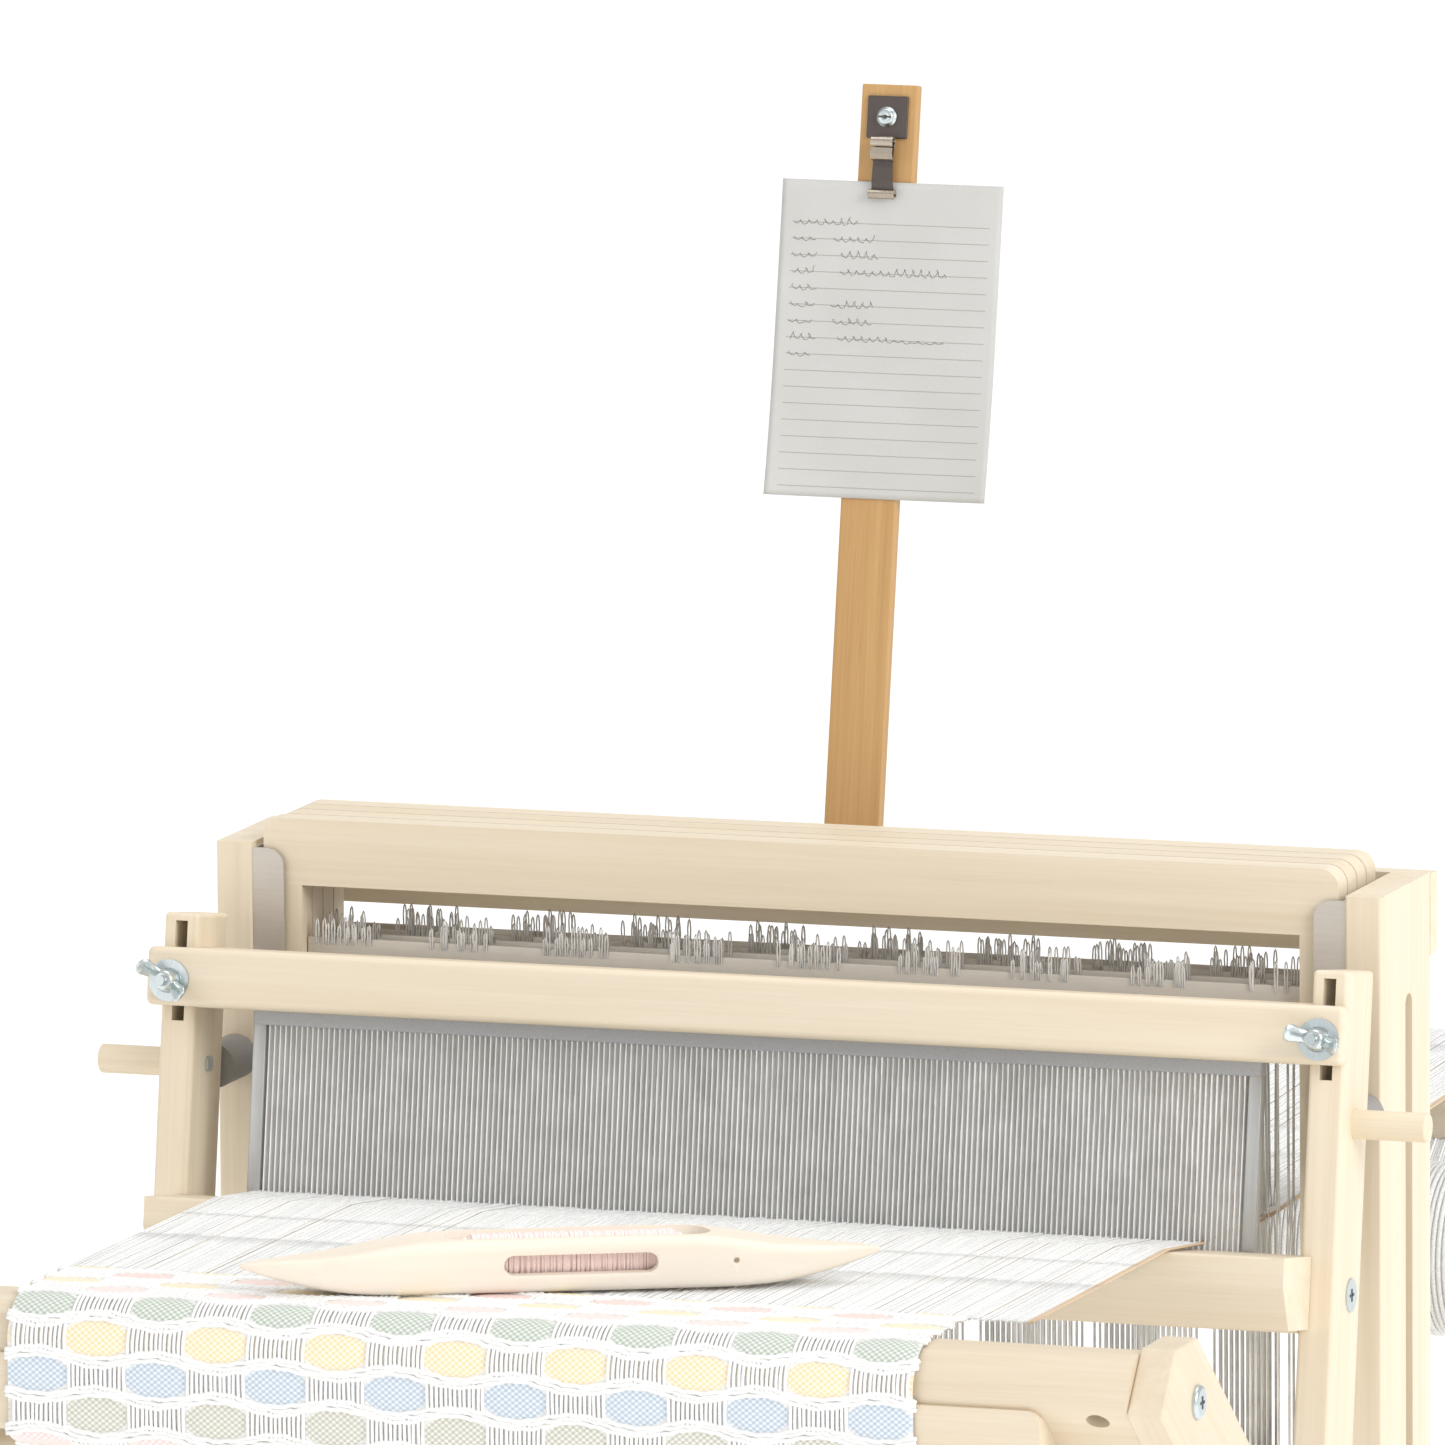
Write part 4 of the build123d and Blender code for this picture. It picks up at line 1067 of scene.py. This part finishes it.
def wing_nut(name, node, body, turn):
    """A die-cast wing nut: a domed hub with two waisted wings, and the bolt's end in it."""
    front = in_beater(0, -1, 0) - in_beater(0, 0, 0)
    at = in_beater(math.copysign(NUT_X, middle(node).x), -0.0145, -0.030)
    cast = metal(f"cast_zinc_{name}", linear(212, 220, 220), 0.25, ALONG_Z, 0.09)
    across = Matrix.Rotation(turn, 3, front) @ Vector((1, 0, 0))
    third = front.cross(across)
    hub = lathe(f"{name}_hub", [(0, 0.0056), (0.0016, 0.0056), (0.0034, 0.0048), (0.0062, 0.0044),
                                (0.0072, 0.0036), (0.0072, 0.0026)], at, front, cast)
    tip = [(0.004, 0.0024), (0.0078, 0.0024), (0.0084, 0.0018)]
    bolt_end = lathe(f"{name}_bolt_end", tip, at, front, ZINC, 24)
    pieces = [hub, bolt_end]
    for side in (-1, 1):
        verts = []
        stations = [(0.0030, 0.0028, 0.0030, 0.0013), (0.0056, 0.0042, 0.0030, 0.0011),
                    (0.0080, 0.0064, 0.0034, 0.0010), (0.0102, 0.0088, 0.0040, 0.0010),
                    (0.0118, 0.0106, 0.0034, 0.0009), (0.0125, 0.0114, 0.0014, 0.0005)]
        sides = 16
        for out, up, half_width, half_thick in stations:
            centre = at + across * out * side + front * up
            normal = (across * side * -0.62 + front * 0.78)
            for j in range(sides):
                angle = 2 * math.pi * j / sides
                place = centre + third * half_width * math.cos(angle)
                verts.append(place + normal * half_thick * math.sin(angle))
        label = "a" if side < 0 else "b"
        wing = new_object(f"{name}_wing_{label}", verts, loft(len(stations), sides), cast)
        fix_normals(wing)
        pieces.append(wing)
    attach(pieces, body, node)


wing_nut("nut_left", "wing_nut_left", "wing_nut_left", math.radians(-33))
wing_nut("nut_right", "wing_nut_right", "wing_nut_right", math.radians(-14))


def painted_cross_shade(name, at, body):
    """A dark cross laid on a domed head that faces out to one side of the loom: painted shade where its
    cross recess would be.
    """
    # painted shade: the recess is not cut; this thin dark metal cross stands in for the shade inside it
    dark = metal(f"recess_shade_{name}", linear(96, 104, 108), 0.4, ALONG_Z, 0.1)
    side = 1 if at.x > 0 else -1
    verts, faces = boxes([at + Vector((side * 0.0001, 0, 0))], (0.0003, 0.0012, 0.0056))
    more, links = boxes([at + Vector((side * 0.0001, 0, 0))], (0.0003, 0.0056, 0.0012))
    faces += [tuple(i + len(verts) for i in face) for face in links]
    cross = new_object(f"cross_{name}", verts + more, faces, dark, smooth=False)
    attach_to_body(cross, body)


def painted_cross_shades():
    for side in (-1, 1):
        label = "right" if side > 0 else "left"
        x = side * high("front_frame_bolts").x
        painted_cross_shade(f"leg_{label}", Vector((x, -0.3748, 0.5985)), "front_frame")
        x = side * high("beater_screws").x
        place = in_beater(x, 0.0245, -0.142)
        painted_cross_shade(f"beater_{label}", place, "beater")


painted_cross_shades()


# ---------------------------------------------------------------- shuttle and bobbin
SHUTTLE_AT = Vector((-0.0075, -0.335, low("shuttle").z))
SHUTTLE_TURN = Matrix.Rotation(math.radians(25.6), 4, "Z")


def in_shuttle(x, y, z):
    """A point given in the shuttle's own frame: x along it, z up from its base."""
    return SHUTTLE_AT + (SHUTTLE_TURN @ Vector((x, y, z)))


def cut(obj, tool):
    """Take a tool's shape out of an object and throw the tool away."""
    modifier = obj.modifiers.new("cut", "BOOLEAN")
    modifier.operation = "DIFFERENCE"
    modifier.solver = "EXACT"
    modifier.object = tool
    apply_modifiers(obj)
    bpy.data.objects.remove(tool)


def stadium(name, length, height, depth, centre, upright):
    """A slot-shaped cutter in the shuttle's frame, along its length; upright ones face up."""
    radius, verts, sides = height / 2, [], 12
    outline = []
    for i in range(sides + 1):
        angle = -math.pi / 2 + math.pi * i / sides
        outline.append((length / 2 - radius + radius * math.cos(angle), radius * math.sin(angle)))
    for i in range(sides + 1):
        angle = math.pi / 2 + math.pi * i / sides
        outline.append((-length / 2 + radius + radius * math.cos(angle), radius * math.sin(angle)))
    for far in (-depth / 2, depth / 2):
        for a, b in outline:
            x, y, z = (a, b, far) if upright else (a, far, b)
            verts.append(in_shuttle(centre[0] + x, centre[1] + y, centre[2] + z))
    count = len(outline)
    faces = [tuple(range(count)), tuple(reversed(range(count, 2 * count)))]
    faces += [(i, (i + 1) % count, count + (i + 1) % count, count + i) for i in range(count)]
    obj = new_object(name, verts, faces, None, smooth=False)
    fix_normals(obj)
    return obj


def shuttle():
    """A smooth boat: full in the middle, drawn out to thin upturned tips."""
    length = [0, 40, 62, 78, 92, 106, 118, 128, 135, 139]
    top = [24.0, 24.0, 23.4, 21.0, 18.6, 16.9, 15.9, 15.2, 14.4, 13.3]
    base = [0, 0, 0, 0.1, 0.9, 2.9, 5.6, 8.3, 10.4, 11.9]
    width = [18, 18, 17.9, 17.0, 14.8, 11.6, 8.4, 5.4, 3.0, 1.0]
    smooth = np.linspace(-139, 139, 121)
    at = np.abs(smooth)
    tops, bases, widths = (np.interp(at, length, v) for v in (top, base, width))
    kernel = np.array([1, 2, 3, 2, 1]) / 9
    for values in (tops, bases, widths):
        values[2:-2] = np.convolve(values, kernel, mode="same")[2:-2]
    sides, verts = 40, []
    for x, t, b, w in zip(smooth, tops, bases, widths):
        middle_z, half_z = (t + b) / 2, (t - b) / 2
        for j in range(sides):
            angle = 2 * math.pi * (j + 0.5) / sides
            c, s = math.cos(angle), math.sin(angle)
            power = 0.34
            y = math.copysign(abs(c) ** power, c) * w
            z = math.copysign(abs(s) ** power, s) * half_z
            verts.append(in_shuttle(x / 1000, y / 1000, (middle_z + z) / 1000))
    grain = SHUTTLE_TURN @ Vector((1, 0, 0))
    tones = [linear(240, 231, 218), linear(236, 225, 209), linear(228, 213, 193)]
    pale = wood("maple_shuttle", tuple(grain), 88, tones, 0.6)
    boat = new_object("shuttle_boat", verts, loft(len(smooth), sides), pale)
    fix_normals(boat)
    cut(boat, stadium("well", 0.116, 0.0225, 0.022, (0.007, 0, 0.0165), True))
    cut(boat, stadium("window", 0.067, 0.0088, 0.014, (0.007, -0.0165, 0.0128), False))
    cut(boat, stadium("pin_hole", 0.0026, 0.0025, 0.006, (0.0745, -0.0172, 0.0125), False))
    modifier = boat.modifiers.new("edge", "BEVEL")
    modifier.width = 0.0007
    modifier.segments = 2
    modifier.limit_method = "ANGLE"
    modifier.angle_limit = math.radians(50)
    apply_modifiers(boat)
    boat.data.polygons.foreach_set("use_smooth", [True] * len(boat.data.polygons))
    boat.data.set_sharp_from_angle(angle=math.radians(40))
    attach([boat], "shuttle", "shuttle")


def bobbin():
    """The wound yarn, its two flanges and the wire they turn on."""
    across = tuple(SHUTTLE_TURN @ Vector((0, 1, 0)))
    pink = yarn("bobbin_yarn", linear(254, 238, 235), linear(249, 222, 217), 900, across)
    plastic = rubber("flange_plastic", linear(232, 231, 227))
    axis = SHUTTLE_TURN @ Vector((1, 0, 0))
    height = 0.0135
    turns = []
    for x in np.arange(-0.0385, 0.0488, 0.00085):
        angle = np.linspace(0, 2 * np.pi, 28, endpoint=False)
        swell = 0.0101 + rng.uniform(-0.00035, 0.00035)
        slant = rng.uniform(-0.0009, 0.0009)
        turns.append([
            tuple(in_shuttle(x + slant * math.cos(a), swell * math.cos(a), height + swell * math.sin(a)))
            for a in angle
        ])
    wound = tube_object("bobbin_turns", turns, 0.00062, pink, 6, closed=True)
    barrel = [(-0.040, 0.0098), (0.050, 0.0098)]
    core = lathe("bobbin_core", barrel, in_shuttle(0, 0, height), axis, pink, 32)
    pieces = [wound, core]
    for label, x0 in (("a", -0.043), ("b", 0.050)):
        profile = [(x0, 0.0080), (x0 + 0.0006, 0.0088), (x0 + 0.0024, 0.0088), (x0 + 0.003, 0.0080)]
        pieces.append(lathe(f"bobbin_flange_{label}", profile, in_shuttle(0, 0, height), axis, plastic, 32))
    attach(pieces, "bobbin", "shuttle_bobbin")
    ends = [(-0.051, 0.0012), (0.065, 0.0012)]
    wire = lathe("bobbin_wire", ends, in_shuttle(0, 0, height), axis, STEEL, 16)
    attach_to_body(wire, "shuttle")


shuttle()
bobbin()
